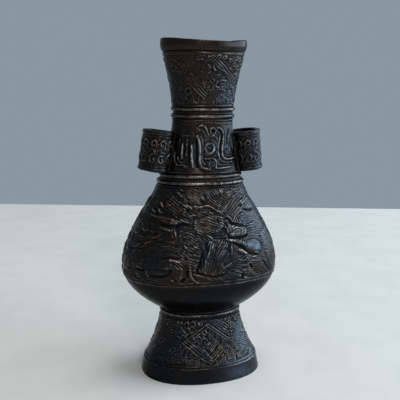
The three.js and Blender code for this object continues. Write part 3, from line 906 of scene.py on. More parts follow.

# Rubbed spots of the body, also painted with a blue-grey reflection: place round it,
# height, half sizes and amount
BODY_POLISH_AND_SHEEN = [
    (16.6, 62.4, 3.4, 1.3, 0.75), (19.8, 61, 2.3, 1.9, 0.95), (13.6, 63, 1.6, 0.8, 0.8),
    (9.6, 66.6, 2.4, 1.6, 0.7), (-3.6, 55.6, 1.4, 3, 0.5), (1, 66, 3.4, 1.2, 0.4),
    (6, 75.6, 3, 1.8, 0.5), (12, 68.2, 2.6, 1, 0.4), (5.2, 54.8, 2.2, 1, 0.7), (22, 68, 12, 15, 0.22),
]

# Directions of the fine lines on the body: place round it, height and degrees above level
BODY_FLOW = [
    (-39, 85, 35), (-40, 78, -30), (-38, 71, 25), (-40, 64, -35), (-39, 57, 40), (-40, 50, -20),
    (-30, 84, -15), (-30, 78, -12), (-24, 85, -14), (-22, 80, -34), (-18, 82, -30), (-18, 78, -36),
    (-14, 84, -15), (-14, 80, -22), (-10, 85, -12), (-10, 77, 4), (-28, 74, -8), (-22, 70, -14),
    (-14, 74, -12), (-13, 69, -25), (-8, 72, -15), (-8, 66, -28), (-32, 65, 0), (-27, 65, 55),
    (-24, 62, -45), (-20, 63, 25), (-17, 60, -15), (-23, 58, 10), (-28, 57, 50), (-12, 60, -30),
    (-8, 58, -18), (-11, 53, -60), (-20, 54, -10), (-27, 50, -15), (-16, 50, -20), (-5, 50, -28),
    (-2, 62, 74), (0, 57, 66), (2, 63, 52), (4, 59, 60), (-3.4, 55, 78), (3, 54, 56), (-4, 72, -20),
    (0, 73, -25), (3, 71, -32), (1, 68, -18), (-4, 82, -46), (0, 82, -46), (4, 82, -43), (8, 83, -40),
    (3, 79, -40), (8, 79, -36), (12, 84, -24), (11, 78, 36), (14, 80, 28), (18, 82, 20), (23, 83, 16),
    (20, 76, -8), (26, 78, 4), (24, 72, 8), (30, 75, -8), (20, 70, 6), (28, 69, -8), (34, 80, -6),
    (34, 71, 6), (39, 85, -40), (40, 78, 35), (38, 71, -30), (40, 64, 40), (7, 62, 66), (10, 59.5, 48),
    (9, 70, 60), (9, 56.5, -2), (13, 54, 4), (6, 52, -8), (5, 49.5, -38), (9, 48.6, -26), (14, 50, -12),
    (18, 55, -16), (24, 61, -12), (30, 61, 6), (24, 54, -50), (31, 54, -24), (38, 57, -35),
    (28, 50, -12), (40, 50, 30),
]

# Ovals of the body where the fine lines are worn low: place, height, half sizes and share
BODY_FAINT = [
    (38, 66, 24, 40, 0.75), (-26, 56.5, 11, 6.5, 0.45), (10, 60, 5, 4, 0.5), (-9, 82, 4, 4, 0.6),
    (23, 53, 7, 5, 0.45),
]

# Rounds of the body that stay smooth: place round it, height and radius
BODY_QUIET = [
    (16.4, 61.8, 2.6), (20, 61.4, 3), (-14.2, 71.8, 1.4), (-31, 57.4, 2.6), (-20, 67.4, 2.2),
    (-18.4, 56.2, 1.6), (-30.4, 82.6, 2.4), (-31.6, 70.4, 1.6), (17.6, 51.6, 1.6), (-36.4, 55.6, 2),
    (12.2, 60.4, 1), (-14.4, 52.6, 1.8),
]


def body_ornament():
    """Long-tailed birds among clouds: raised forms, bold edges and a ground of fine lines
    that flow round them."""
    canvas = Canvas(BODY_RELIEF.half_round / 2, 45.6, 88.4)
    canvas.level_lines([86.9], 0.7, 0.34)
    canvas.level_lines([46.6, 47.9], 0.65, 0.34)
    body_forms(canvas)
    body_edges(canvas)
    body_feathers(canvas)
    angle = flow(canvas, BODY_FLOW, 3.2, 0.32, 211)
    canvas.fill(angle, 0.98, 7.5, 0.6, 0.4, 212, BODY_QUIET, BODY_FAINT)
    # Rubbed spots painted with a blue-grey reflection
    for s, z, across, up, amount in BODY_POLISH_AND_SHEEN:
        canvas.polish((s, z), across, up, amount)
    return canvas.finish()


def body_forms(canvas):
    """The broad raised forms that the fine lines lie on."""
    for height, edge, outline in BODY_FORMS:
        canvas.lobe(outline, height, edge)
    for s, z, radius, flip in CLOUD_SCROLLS:
        canvas.spiral((s, z), radius, 1.4, 40, 0.85, 0.42, flip)
        canvas.spiral((-s, z - 3), radius, 1.3, 200, 0.85, 0.42, flip)
    canvas.dome((-31.6, 70.5), 1.7, 0.45)
    canvas.dome((-38.2, 79.6), 2.2, 0.3)


def body_feathers(canvas):
    """Combed feathers of the wings and the tail."""
    for first, last, count, width, height in BODY_COMBS:
        canvas.comb(first, last, count, width, height)


def body_edges(canvas):
    """Bold bright edges and deep grooves that set the birds off from the ground."""
    canvas.strokes(BODY_BOLD, 1, 0.62, 0.5)
    canvas.strokes(BODY_FINE, 0.65, 0.4, 0.3)
    canvas.grooves(BODY_DEEP, 1, 0.45)
    canvas.grooves(BODY_DARK, 1.2, 0.42)


def ear_ornament():
    """Pairs of knotted loops with ticks between them and a bead at each end, the same on
    both ears."""
    canvas = Canvas(24, -8.8, 8.8)
    canvas.level_lines([-6.5, 6.4], 0.6, 0.3)
    for k, x in enumerate(np.arange(-21.5, 22, 4.3)):
        lean = 0.6 if k % 2 else -0.6
        upper = (x - 0.9, 1.6 + lean, x - 1.3, 3.4, x - 0.1, 4.8)
        upper += (x + 1.2, 4, x + 0.9, 2.6, x - 0.1, 2.8)
        middle = (x + 1.3, 1.6, x + 0.4, 0.4 + lean, x - 1, -0.3, x - 1.6, -1.4)
        lower = (x - 0.6, -1.2 + lean, x + 1, -1.6, x + 1.4, -3.4)
        lower += (x + 0.2, -4.7, x - 1, -3.9, x - 0.3, -2.9)
        canvas.strokes([upper, lower], 0.9, 0.5)
        canvas.strokes([middle], 0.8, 0.42)
        for z in (-4.9, -2.6, 0.4, 3, 5):
            canvas.strokes([(x + 1.9, z, x + 2.7, z + 0.5 + lean)], 0.7, 0.36)
    canvas.fill(swirl(canvas, 2.4, 501), 1.05, 2.4, 0.62, 0.3, 502)
    return canvas.finish(2)


# Surfaces


def string_course(z, height):
    """Rise at heights z of the half round string course that lies at the given height."""
    reach = np.clip(1 - ((z - height) / (STRING_HEIGHT / 2)) ** 2, 0, 1)
    return STRING_RISE * np.sqrt(reach)


def drawn_courses(z):
    """Rise of all the string courses at heights z, as bold as they are drawn."""
    return np.max([scale * string_course(z, height) for height, scale in COURSES], axis=0)


def lip_groove(z):
    """Sinking of the groove under the lip at heights z."""
    reach = np.clip(1 - np.abs(z - LIP_BAND_Z) / (LIP_BAND_GROOVE_HEIGHT / 2), 0, 1)
    return -LIP_BAND_GROOVE * smooth(reach * 1.4)


def band_relief(canvas, relief, q, z):
    """The band's drawing wrapped round the piece, and its polished spots with their painted
    blue-grey reflection. The back repeats the front with small shifts, and the whole wears
    thin in patches."""

    def rough(grain, step):
        return round_noise(q, z, relief.half_round, grain, relief.seed + step)

    folded = np.where(np.abs(q) <= 0.5, q, np.sign(q) * (1 - np.abs(q)))
    across = 0.2 + 0.9 * smooth((np.abs(q) - 0.5) / 0.12)
    s = folded * relief.half_round + (across * rough(9.0, 0) + 0.12 * rough(2.7, 3))
    drawn_z = z + (0.7 * across * rough(8.0, 1) + 0.12 * rough(2.9, 4))
    worn = 0.86 + 0.2 * rough(7.0, 2) + 0.25 * rough(2.0, 5)
    return canvas.sample(s, drawn_z, canvas.height) * worn, canvas.sample(s, drawn_z, canvas.polish_and_painted_sheen)


def unevenness(relief, q, z):
    """Low dents, lumps and the fine grain of the casting, weaker at the bottom of foot and
    body, where these sit or plug in."""
    bumps = 0.0
    for step, (depth, grain) in enumerate(UNEVENNESS, 3):
        bumps = bumps + depth * round_noise(q, z, relief.half_round, grain, relief.seed + step)
    above_end = np.where(z < WAIST[0], z, z - WAIST[0])
    return bumps * np.where(z < SHOULDER[0], smooth(above_end / 3), 0.8)


def outward(x, y, z):
    """Unit normals of the plain outline at the given points."""
    width, depth, width_slope, depth_slope = outside(z)
    p = SECTION_POWER
    nx = np.sign(x) * np.abs(x) ** (p - 1) / width**p
    ny = np.sign(y) * np.abs(y) ** (p - 1) / depth**p
    nz = (np.abs(x) / width) ** p * width_slope / width
    nz = nz + (np.abs(y) / depth) ** p * depth_slope / depth
    normal = np.stack([nx, ny, -nz], -1)
    return normal / np.linalg.norm(normal, axis=-1, keepdims=True)


def crest_of(height):
    """How far each point stands above its surroundings."""
    return height - blurred(height, 4)


def relief_rows(heights, canvas, relief):
    """Rows of the outside at the given heights with the canvas wrapped round them, and for
    each point its crest, which sets its rubbed colour and painted highlight, and how far it
    is polished and painted with a blue-grey reflection."""
    q, unit_x, unit_y = oval_columns(relief.columns)
    q, z = np.meshgrid(q, heights)
    width, depth, _, _ = outside(z)
    x, y = width * unit_x, depth * unit_y
    drawing, polish_and_painted_sheen = band_relief(canvas, relief, q, z)
    courses = drawn_courses(z)
    band = drawing + lip_groove(z) + unevenness(relief, q, z)
    points = np.stack([x, y, z], -1) + outward(x, y, z) * (courses + band)[..., None]
    return points, np.stack([crest_of(COURSE_WEAR_AND_HIGHLIGHT * courses + band), polish_and_painted_sheen], -1)


def plain_rows(rings, columns, ripple=0.0, seed=0):
    """Rows from rings of height, half width and half depth, with a slight ripple."""
    q, unit_x, unit_y = oval_columns(columns)
    q, z = np.meshgrid(q, [ring[0] for ring in rings])
    grow = ripple * round_noise(q, z, 40.0, 8.0, seed)
    _, width, depth = np.array(rings).T[:, :, None]
    points = np.stack([(width + grow) * unit_x, (depth + grow) * unit_y, z], -1)
    return points, np.zeros(z.shape + (2,))


def inner_rows(start, end, count, columns):
    """Rows of the inside wall from one height to another."""
    return plain_rows([inner_ring(z) for z in np.linspace(start, end, count)], columns, 0.12, 90)


def heights_between(*spans):
    """Heights through spans of (start, end, step), with the ends shared."""
    rows = []
    for start, end, step in spans:
        count = max(1, int(round((end - start) / step)))
        rows.extend(np.linspace(start, end, count, endpoint=False))
    return np.array(rows + [spans[-1][1]])


def stacked(*blocks):
    """Blocks of rows joined into one grid of points, and the wear and painted reflection that go with
    it.
    """
    return tuple(np.concatenate(parts) for parts in zip(*blocks))


# Meshes


def grid_quads(rows, columns, closed=True):
    """Faces of a grid of vertices that closes round its columns, and round its rows too if
    it is closed."""
    row = np.arange(rows if closed else rows - 1)[:, None]
    column = np.arange(columns)[None, :]
    here, above, beside = row * columns, (row + 1) % rows * columns, (column + 1) % columns
    quads = np.stack([here + column, here + beside, above + beside, above + column], -1)
    return quads.reshape(-1, 4)


def tube_faces(points):
    """Quads of an open grid of points, and the two faces that close its ends."""
    rows, columns, _ = points.shape
    first = np.arange(columns)
    return grid_quads(rows, columns, False), [first[::-1], (rows - 1) * columns + first]


def filled_mesh(name, vertices, quads, extra):
    """A mesh from vertices in millimetres, bowed as the casting is, quads and extra faces."""
    bowed = np.array(vertices)
    bowed[:, 0] += np.interp(bowed[:, 2], BOW_HEIGHTS, BOW_SHIFTS)
    sizes = [4] * len(quads) + [len(face) for face in extra]
    mesh = bpy.data.meshes.new(name)
    mesh.vertices.add(len(bowed))
    mesh.vertices.foreach_set("co", (bowed * MM).astype(np.float32).ravel())
    mesh.loops.add(int(sum(sizes)))
    mesh.loops.foreach_set("vertex_index", np.concatenate([quads.ravel(), *extra]).astype(np.int32))
    mesh.polygons.add(len(sizes))
    starts = np.append(0, np.cumsum(sizes)[:-1])
    mesh.polygons.foreach_set("loop_start", starts.astype(np.int32))
    mesh.update(calc_edges=True)
    mesh.validate()
    return mesh


def linked(name, data):
    """A new object in the scene."""
    made = bpy.data.objects.new(name, data)
    bpy.context.scene.collection.objects.link(made)
    return made


def fitted(name, node, slot_name, material, points, wear=None, quads=None, extra=(), flip=False):
    """A smooth shaded piece from a grid of points, fitted to the frame in place of its CAD
    node. Wear holds how far each point stands out to be rubbed, which also paints a
    highlight on it, and how far it is polished and painted with a blue-grey reflection."""
    quads = grid_quads(*points.shape[:2]) if quads is None else quads
    if flip:
        quads, extra = quads[:, ::-1], [face[::-1] for face in extra]
    mesh = filled_mesh(name, points.reshape(-1, 3), quads, extra)
    wear = np.zeros(points.shape[:2] + (2,)) if wear is None else wear
    for label, values in zip(("crest", "polish"), wear.reshape(-1, 2).T):
        stored = mesh.attributes.new(label, "FLOAT", "POINT")
        stored.data.foreach_set("value", np.ascontiguousarray(values, dtype=np.float32))
    mesh.shade_smooth()
    mesh.set_sharp_from_angle(angle=SHARP_ANGLE)
    mesh.materials.append(material)
    piece = linked(name, mesh)
    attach(piece, "root")
    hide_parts(node)


# Castings


def foot_section(material):
    """Spread foot with its lozenge band, spigot and the ledge for the base plate."""
    top = WAIST[0] - BRAZE_HEIGHT / 2
    heights = heights_between((0, 0.4, 0.2), (0.4, 6.0, 0.8), (6.0, 28.0, 0.22), (28.0, top, 0.16))
    recess = plate_recess()
    ledge = moved_ring(recess, -LEDGE_WIDTH, PLATE_SEAT_Z)
    underside_z = PLATE_SEAT_Z - LEDGE_THICKNESS
    seat = [
        moved_ring(recess, 0, WAIST[0] + SPIGOT_LENGTH),
        moved_ring(recess, 0, PLATE_SEAT_Z),
        ledge,
        moved_ring(ledge, 0, underside_z),
    ]
    columns = FOOT_RELIEF.columns
    rows = stacked(
        relief_rows(heights, foot_ornament(), FOOT_RELIEF),
        plain_rows(spigot_end(WAIST[0]) + seat, columns),
        inner_rows(underside_z - LEDGE_WIDTH / 2, 0, 14, columns),
    )
    fitted("foot", "foot_section", "castings", material, *rows)


def middle_casting(name, node, material, canvas, relief, joints, band, steps, inner_count):
    """Casting between two joints. The band is the two heights between which its rows lie at
    the second of three steps."""
    lower_z, upper_z = joints
    ends = lower_z + BRAZE_HEIGHT / 2, *band, upper_z - BRAZE_HEIGHT / 2
    heights = heights_between(*zip(ends[:-1], ends[1:], steps))
    rows = stacked(
        plain_rows(socket_end(lower_z), relief.columns),
        relief_rows(heights, canvas, relief),
        plain_rows(spigot_end(upper_z), relief.columns),
        inner_rows(upper_z + SPIGOT_LENGTH, socket_ceiling(lower_z), inner_count, relief.columns),
    )
    fitted(name, node, "castings", material, *rows)


def lip_rings():
    """Rings over the rounded top of the lip, from the outside to the inside."""
    base = RIM[0] - LIP_ROUNDING
    turns = np.radians([22, 45, 68, 90])
    rings = []
    for ring_at, sign, order in ((outer_ring, -1, turns), (inner_ring, 1, turns[::-1])):
        for turn in order:
            ring = ring_at(base + LIP_ROUNDING * np.sin(turn))
            rings.append(moved_ring(ring, sign * LIP_ROUNDING * (1 - np.cos(turn))))
    return rings


def worn_rim(points):
    """Lowers the top edge unevenly, as wear and old knocks have left it, and rolls the
    lip out below it."""
    q = np.linspace(-1, 1, points.shape[1], endpoint=False)
    marks = [-1, -0.78, -0.46, -0.18, -0.09, 0.05, 0.15, 0.26, 0.42, 0.7, 1]
    drops = [0.35, 0.1, 0.0, 0.75, 1.1, 1.25, 1.35, 0.7, 0.1, 0.1, 0.35]
    drop = np.interp(q, marks, drops)
    drop = drop + 0.1 * round_noise(q, 0 * q, MOUTH_RELIEF.half_round, 5.0, 47)
    z = points[..., 2].copy()
    points[..., 2] -= drop * smooth((z - LIP_BAND_Z) / (RIM[0] - LIP_BAND_Z))
    roll = np.interp(z, (142.6, 144.4, 146.0, 149.0), (0, 0.014, 0.018, -0.03))
    points[..., :2] *= 1 + roll[..., None]
    return points


def mouth_section(material):
    """Trumpet mouth with its lozenge band and plain worn lip."""
    bottom, top = NECK[0] + BRAZE_HEIGHT / 2, RIM[0] - LIP_ROUNDING
    heights = heights_between(
        (bottom, 120.6, 0.15), (120.6, 142.4, 0.2), (142.4, 144.2, 0.16), (144.2, top, 0.5)
    )
    columns = MOUTH_RELIEF.columns
    points, wear = stacked(
        plain_rows(socket_end(NECK[0]), columns),
        relief_rows(heights, mouth_ornament(), MOUTH_RELIEF),
        plain_rows(lip_rings(), columns, 0.1, 91),
        inner_rows(top, socket_ceiling(NECK[0]), 24, columns),
    )
    fitted("mouth", "mouth_section", "castings", material, worn_rim(points), wear)


# Braze rings and base plate


def braze_ring(name, joint_z, material):
    """Ring of braze in the groove between two castings, flowed a little unevenly."""
    q, unit_x, unit_y = oval_columns(2 * RING_COLUMNS)
    back = BRAZE_CLEARANCE - BRAZE_DEPTH
    profile = [(-1, -0.1), (-0.5, -0.16), (0, -0.2), (0.5, -0.16), (1, -0.1), (1, back), (-1, back)]
    rows = []
    for up, offset in profile:
        _, width, depth = outer_ring(joint_z + up * BRAZE_HEIGHT / 2)
        z = joint_z + up * BRAZE_HEIGHT / 2 + 0 * q
        grow = offset + 0.06 * round_noise(q, z, 50.0, 2.6, 61) * (offset > back)
        rows.append(np.stack([(width + grow) * unit_x, (depth + grow) * unit_y, z], -1))
    fitted(f"{name}_braze", f"{name}_braze_ring", "braze", material, np.array(rows))


def base_plate(material):
    """Plate let in above the foot, slightly dished and hammered."""
    _, unit_x, unit_y = oval_columns(RING_COLUMNS)
    edge = moved_ring(plate_recess(), -PLATE_CLEARANCE)
    shares = np.array([0.03, 0.1, 0.2, 0.3, 0.4, 0.5, 0.6, 0.7, 0.8, 0.9, 0.97, 1.0])
    phases = np.random.default_rng(71).uniform(0, 2 * np.pi, (6, 2))
    rows = []
    for z, ring_shares, sign in ((PLATE_SEAT_Z, shares, 1), (PLATE_TOP_Z, shares[::-1], -1)):
        for share in ring_shares:
            x, y = edge[1] * share * unit_x, edge[2] * share * unit_y
            dish = np.zeros_like(x)
            for k, (a, b) in enumerate(phases, 1):
                dish += 0.03 * np.sin(0.32 * k * x + a) * np.cos(0.36 * k * y + b)
            rounding = 0.25 * sign if share == 1.0 else 0
            rows.append(np.stack([x, y, z + sign * np.abs(dish) * (share < 0.9) + rounding], -1))
    points = np.array(rows)
    quads, ends = tube_faces(points)
    fitted("base", "base_plate", "base_plate", material, points, None, quads, ends)


def base_plate_solder(material):
    """Fillet of solder round the top of the base plate."""
    q, unit_x, unit_y = oval_columns(RING_COLUMNS)
    _, width, depth = moved_ring(plate_recess(), -SOLDER_CLEARANCE)
    leg = SOLDER_LEG * (0.88 + 0.12 * round_noise(q, 0 * q, 44.0, 3.0, 81))
    section = [(0, 0), (0, 0.5), (0, 1), (0.16, 0.62), (0.36, 0.36), (0.62, 0.16), (1, 0)]
    rows = []
    for inward, up in section:
        x, y = (width - inward * leg) * unit_x, (depth - inward * leg) * unit_y
        rows.append(np.stack([x, y, PLATE_TOP_Z + up * leg], -1))
    fitted("base_solder", "base_plate_solder", "solder", material, np.array(rows))


# Ears and their seams


def grown_neck(z, grow):
    """Half width and depth of the neck at heights z with its lowest string course, grown."""
    width, depth, _, _ = outside(z)
    course = SHOULDER[0] + STRING_PITCH / 2
    rise = string_course(np.maximum(z, course), course) + grow
    return width + rise, depth + rise


def ear_point(side, angle, t, offset):
    """Point of an ear's oval at an angle from straight out, a distance along its axis."""
    out = (EAR_HALF_WIDTH + offset) * np.cos(angle)
    y = (EAR_HALF_DEPTH + offset) * np.sin(angle)
    x = side * (EAR_AXIS_OFFSET + out * math.cos(EAR_LEAN) - t * math.sin(EAR_LEAN))
    z = EAR_MIDDLE_Z + out * math.sin(EAR_LEAN) + t * math.cos(EAR_LEAN)
    return np.stack([x, y + 0 * x, z], -1)


def junction_angle(t, offset, gap):
    """Angle at which the ear's oval meets the neck grown by the gap, for distances t."""
    low, high = (np.full(t.shape, math.radians(degrees)) for degrees in (75, 179))
    for _ in range(30):
        middle = (low + high) / 2
        x, y, z = np.moveaxis(ear_point(1, middle, t, offset), -1, 0)
        width, depth = grown_neck(z, gap)
        out = (np.abs(x) / width) ** SECTION_POWER + (np.abs(y) / depth) ** SECTION_POWER > 1
        low, high = np.where(out, middle, low), np.where(out, high, middle)
    return low


def ear_heights():
    """Distances along the ear's axis for its rows, closer together at the two lips."""
    half = EAR_LENGTH / 2
    ends = [0, 0.04, 0.12, 0.22, 0.34, 0.6, 1.0, 1.4, 1.6, 1.8, 2.0]
    lower = [-half + step for step in ends]
    middle = list(np.linspace(-half + 2.2, half - 2.2, 66))
    return np.array(lower + middle + [-t for t in lower[::-1]])


def rounded_edge(from_end, radius):
    """How far a wall's face draws back at a distance from its end."""
    share = 1 - np.clip(from_end / EAR_EDGE, 0, 1)
    return radius * (1 - np.sqrt(np.clip(1 - share**2, 0, 1)))


def ear_relief(side, angle, room, turn, t, seed):
    """Height of an ear's lips, drawing and bumps. The drawing ends short of the seams."""
    canvas = ear_ornament()
    from_end = EAR_LENGTH / 2 - np.abs(t)
    lip = EAR_LIP_RISE * smooth((EAR_LIP_HEIGHT + 0.25 - from_end) / 0.4)
    s = angle * EAR_MEAN_RADIUS + (0.8 if side > 0 else 0)
    relief = canvas.sample(s, t, canvas.height) * smooth(room / 0.12)
    relief = relief * (0.9 + 0.2 * round_noise(turn, t, EAR_HALF_ROUND, 6.0, seed))
    bumps = 0.06 * round_noise(turn, t, EAR_HALF_ROUND, 6.0, seed + 1)
    bumps = bumps + 0.02 * round_noise(turn, t, EAR_HALF_ROUND, 1.0, seed + 2)
    return lip + relief + bumps


def ear_quads(rows):
    """Faces of an ear, whose outer and inner columns make one loop closed at both ends."""
    columns = 2 * EAR_COLUMNS
    i = np.arange(EAR_COLUMNS - 1)
    cap = np.stack([i, i + 1, columns - 2 - i, columns - 1 - i], -1)
    last = (rows - 1) * columns
    return np.concatenate([grid_quads(rows, columns, False), cap[:, ::-1], last + cap])


def ear(side, name, material):
    """Open tube with a low lip at each end, cut to stand off the neck by the seam's gap."""
    t = ear_heights()[:, None] + np.zeros((1, EAR_COLUMNS))
    share = np.linspace(-1, 1, EAR_COLUMNS)[None, :]
    turn = share * 0.5 + 0 * t
    seed = 101 if side < 0 else 121
    outer_end = junction_angle(t[:, :1], 0.0, EAR_GAP)
    inner_end = junction_angle(t[:, :1], -EAR_WALL, EAR_GAP)
    angle = share * outer_end
    height = ear_relief(side, angle, outer_end - np.abs(angle), turn, t, seed)
    uneven = 0.16 * round_noise(turn, 0 * t, EAR_HALF_ROUND, 5.0, seed + 3)
    drawn_t = t - np.sign(t) * np.abs(uneven * smooth((np.abs(t) - 5) / 3.75))
    from_end = EAR_LENGTH / 2 - np.abs(t)
    outer = ear_point(side, angle, drawn_t, height - rounded_edge(from_end, EAR_EDGE))
    bumps = 0.05 * round_noise(turn, t, EAR_HALF_ROUND, 5.0, seed + 4)
    inner_height = -EAR_WALL + rounded_edge(from_end, 0.3) + bumps
    inner = ear_point(side, share * inner_end, drawn_t, inner_height)
    points = np.concatenate([outer, inner[:, ::-1]], axis=1)
    wear = np.zeros(points.shape[:2] + (2,))
    wear[:, :EAR_COLUMNS, 0] = crest_of(height)
    quads = ear_quads(len(points))
    fitted(f"{name}_tube", f"{name}_ear", "ears", material, points, wear, quads, flip=side < 0)


def neck_side(points, sink):
    """The points moved along X to just inside the neck's surface."""
    x, y, z = np.moveaxis(points, -1, 0)
    width, depth = grown_neck(z, -sink)
    share = np.clip(1 - (np.abs(y) / depth) ** SECTION_POWER, 0, 1)
    return np.stack([np.sign(x) * width * share ** (1 / SECTION_POWER), y, z], -1)


def ear_seam(side, face, name, node, material):
    """Fillet of braze down one edge of an ear, from the tube's edge to the neck."""
    half = EAR_LENGTH / 2 - SEAM_SETBACK
    t = np.linspace(-half, half, 120)
    rows = []
    for offset, sag in ((SEAM_LAP, -1.0), (-EAR_WALL - SEAM_LAP, 0.7)):
        edge = ear_point(side, face * junction_angle(t, offset, EAR_GAP + 0.3), t, offset)
        root = neck_side(edge, SEAM_SINK)
        for u in np.linspace(0, 1, SEAM_STEPS):
            flowed = 0.12 * round_noise(u + 0 * t, t, 6.0, 1.5, 141 + 10 * side + face)
            bend = sag * (0.45 * np.sin(np.pi * u) - 0.5 * u**6)
            bend = bend + flowed * np.sin(np.pi * min(u + 0.1, 1))
            point = edge * (1 - u) + root * u
            point[:, 1] = face * np.maximum(face * (point[:, 1] + face * bend), SEAM_NEAREST_Y)
            rows.append(point)
    points = np.stack(rows[:SEAM_STEPS] + rows[: SEAM_STEPS - 1 : -1], 1)
    quads, ends = tube_faces(points)
    fitted(name, node, "braze", material, points, None, quads, ends, side * face < 0)


# Materials


def colour(red, green, blue):
    """A plain colour with full alpha."""
    return (red, green, blue, 1.0)


class Tree:
    """Short calls for building a material's nodes."""

    def __init__(self, name):
        self.material = bpy.data.materials.new(name)
        self.material.use_nodes = True
        self.nodes = self.material.node_tree.nodes
        self.links = self.material.node_tree.links
        self.nodes.clear()
        self.shader = self.nodes.new("ShaderNodeBsdfPrincipled")
        output = self.nodes.new("ShaderNodeOutputMaterial")
        self.links.new(self.shader.outputs["BSDF"], output.inputs["Surface"])
        self.place = self.nodes.new("ShaderNodeTexCoord").outputs["Object"]

    def node(self, kind, inputs, **settings):
        """Outputs of a new node with the given settings and its inputs set or linked."""
        made = self.nodes.new("ShaderNode" + kind)
        for name, value in settings.items():
            setattr(made, name, value)
        for name, value in inputs.items():
            self.put(made.inputs[name], value)
        return made.outputs

    def put(self, socket, value):
        """Sets a socket to a number or colour, or links it."""
        if isinstance(value, bpy.types.NodeSocket):
            self.links.new(value, socket)
        else:
            socket.default_value = value

    def shade(self, **inputs):
        """Sets or links inputs of the shader, named with _ for a space."""
        for name, value in inputs.items():
            self.put(self.shader.inputs[name.replace("_", " ")], value)

    def noise(self, scale, detail=3.0, roughness=0.55, distortion=0.0):
        """Noise over the object's coordinates, at a scale for each metre."""
        inputs = {"Scale": scale, "Detail": detail, "Roughness": roughness, "Distortion": distortion}
        return self.node("TexNoise", {"Vector": self.place, **inputs})["Fac"]

    def attribute(self, name):
        """A number stored on the mesh."""
        return self.node("Attribute", {}, attribute_name=name)["Fac"]

    def ramp(self, value, low, high, bottom=0.0, top=1.0):
        """Maps a value from low..high to bottom..top, smoothly and clipped."""
        inputs = {"Value": value, "From Min": low, "From Max": high, "To Min": bottom, "To Max": top}
        return self.node("MapRange", inputs, interpolation_type="SMOOTHSTEP")["Result"]

    def math(self, operation, a, b):
        """One arithmetic step."""
        return self.node("Math", {0: a, 1: b}, operation=operation)[0]

    def times(self, a, b):
        """Product of two numbers."""
        return self.math("MULTIPLY", a, b)

    def mix(self, share, a, b):
        """Blend of two colours."""
        return self.node("Mix", {"Factor": share, 6: a, 7: b}, data_type="RGBA")[2]

    def bump(self, height, distance, strength, **over):
        """Bump of the given depth in metres, over another Normal if one is given."""
        inputs = {"Height": height, "Distance": distance, "Strength": strength, **over}
        return self.node("Bump", inputs)["Normal"]


def patina(tree, mottle, place, warmth):
    """Near black with brown stains, browner at the lip. The foot's edge band carries painted
    light: painted shade on the left and a painted blue reflection on the right."""
    brown_share = tree.ramp(tree.noise(42.0, 3.0), 0.42, 0.62)
    base = tree.mix(brown_share, colour(0.0150, 0.0165, 0.0195), colour(0.0235, 0.0175, 0.0140))
    base = tree.mix(tree.ramp(mottle, 0.48, 0.72, 0.0, 0.55), base, colour(0.030, 0.022, 0.017))
    base = tree.mix(warmth, base, colour(0.022, 0.015, 0.011))
    lip = tree.ramp(place["Z"], 0.1425, 0.1475, 0.0, 0.6)
    base = tree.mix(lip, base, colour(0.030, 0.019, 0.014))
    # Foot's edge band: painted shade on the left, painted blue reflection of the light on the right
    sheen = tree.ramp(place["X"], -0.003, 0.016)
    edge = tree.mix(sheen, colour(0.0085, 0.0085, 0.009), colour(0.036, 0.043, 0.052))
    return tree.mix(tree.ramp(place["Z"], 0.0105, 0.0075, 0.0, 0.8), base, edge)


def bronze(name, warmth=0.0):
    """Dark patinated bronze. Its ridges are rubbed a soft grey-brown, partly wear and partly a
    painted highlight; its hollows are matt black, partly patina and partly painted shade; and
    the underside of the body is darker with painted shade."""
    tree = Tree(name)
    crest = tree.attribute("crest")
    mottle = tree.noise(520.0, 4.0, 0.6, 0.4)
    place = tree.node("SeparateXYZ", {0: tree.place})
    base = patina(tree, mottle, place, warmth)
    # Rubbed colour on the ridges: partly real wear, partly a painted highlight where ridges catch light
    patchy = tree.ramp(tree.noise(90.0, 2.0), 0.36, 0.64, 0.3, 1.0)
    rubbed = tree.times(tree.ramp(mottle, 0.34, 0.62, 0.15, 1.0), patchy)
    worn = tree.times(tree.ramp(crest, 0.04, 0.27), rubbed)
    base = tree.mix(tree.times(worn, 0.9), base, colour(0.265, 0.228, 0.195))
    # Painted shade on the underside of the body, between the waist and the belly
    under = tree.times(tree.ramp(place["Z"], 0.0305, 0.032), tree.ramp(place["Z"], 0.0465, 0.0445))
    base = tree.mix(tree.times(under, 0.8), base, colour(0.006, 0.0065, 0.0085))
    # Polished spots: rubbed metal painted with a blue-grey reflection of the light from the right
    polish = tree.times(tree.attribute("polish"), tree.ramp(mottle, 0.3, 0.6, 0.5, 1.0))
    base = tree.mix(tree.times(polish, 0.8), base, colour(0.056, 0.077, 0.096))
    # Hollows: black patina, darkened further as painted shade
    hollow_patina_and_shade = tree.ramp(crest, -0.01, -0.13)
    base = tree.mix(tree.times(hollow_patina_and_shade, 0.88), base, colour(0.0024, 0.0021, 0.0020))
    rough = tree.math("ADD", tree.ramp(mottle, 0.3, 0.7, 0.2, 0.34), tree.times(hollow_patina_and_shade, 0.25))
    rough = tree.math("SUBTRACT", rough, tree.times(polish, 0.08))
    normal = tree.bump(mottle, 0.00012, 0.5)
    normal = tree.bump(tree.noise(2600.0, 3.0, 0.6), 0.00004, 0.6, Normal=normal)
    tree.shade(Base_Color=base, Metallic=0.92, Roughness=rough, Normal=normal)
    tree.shade(Specular_Tint=colour(0.75, 0.75, 0.75))
    return tree.material


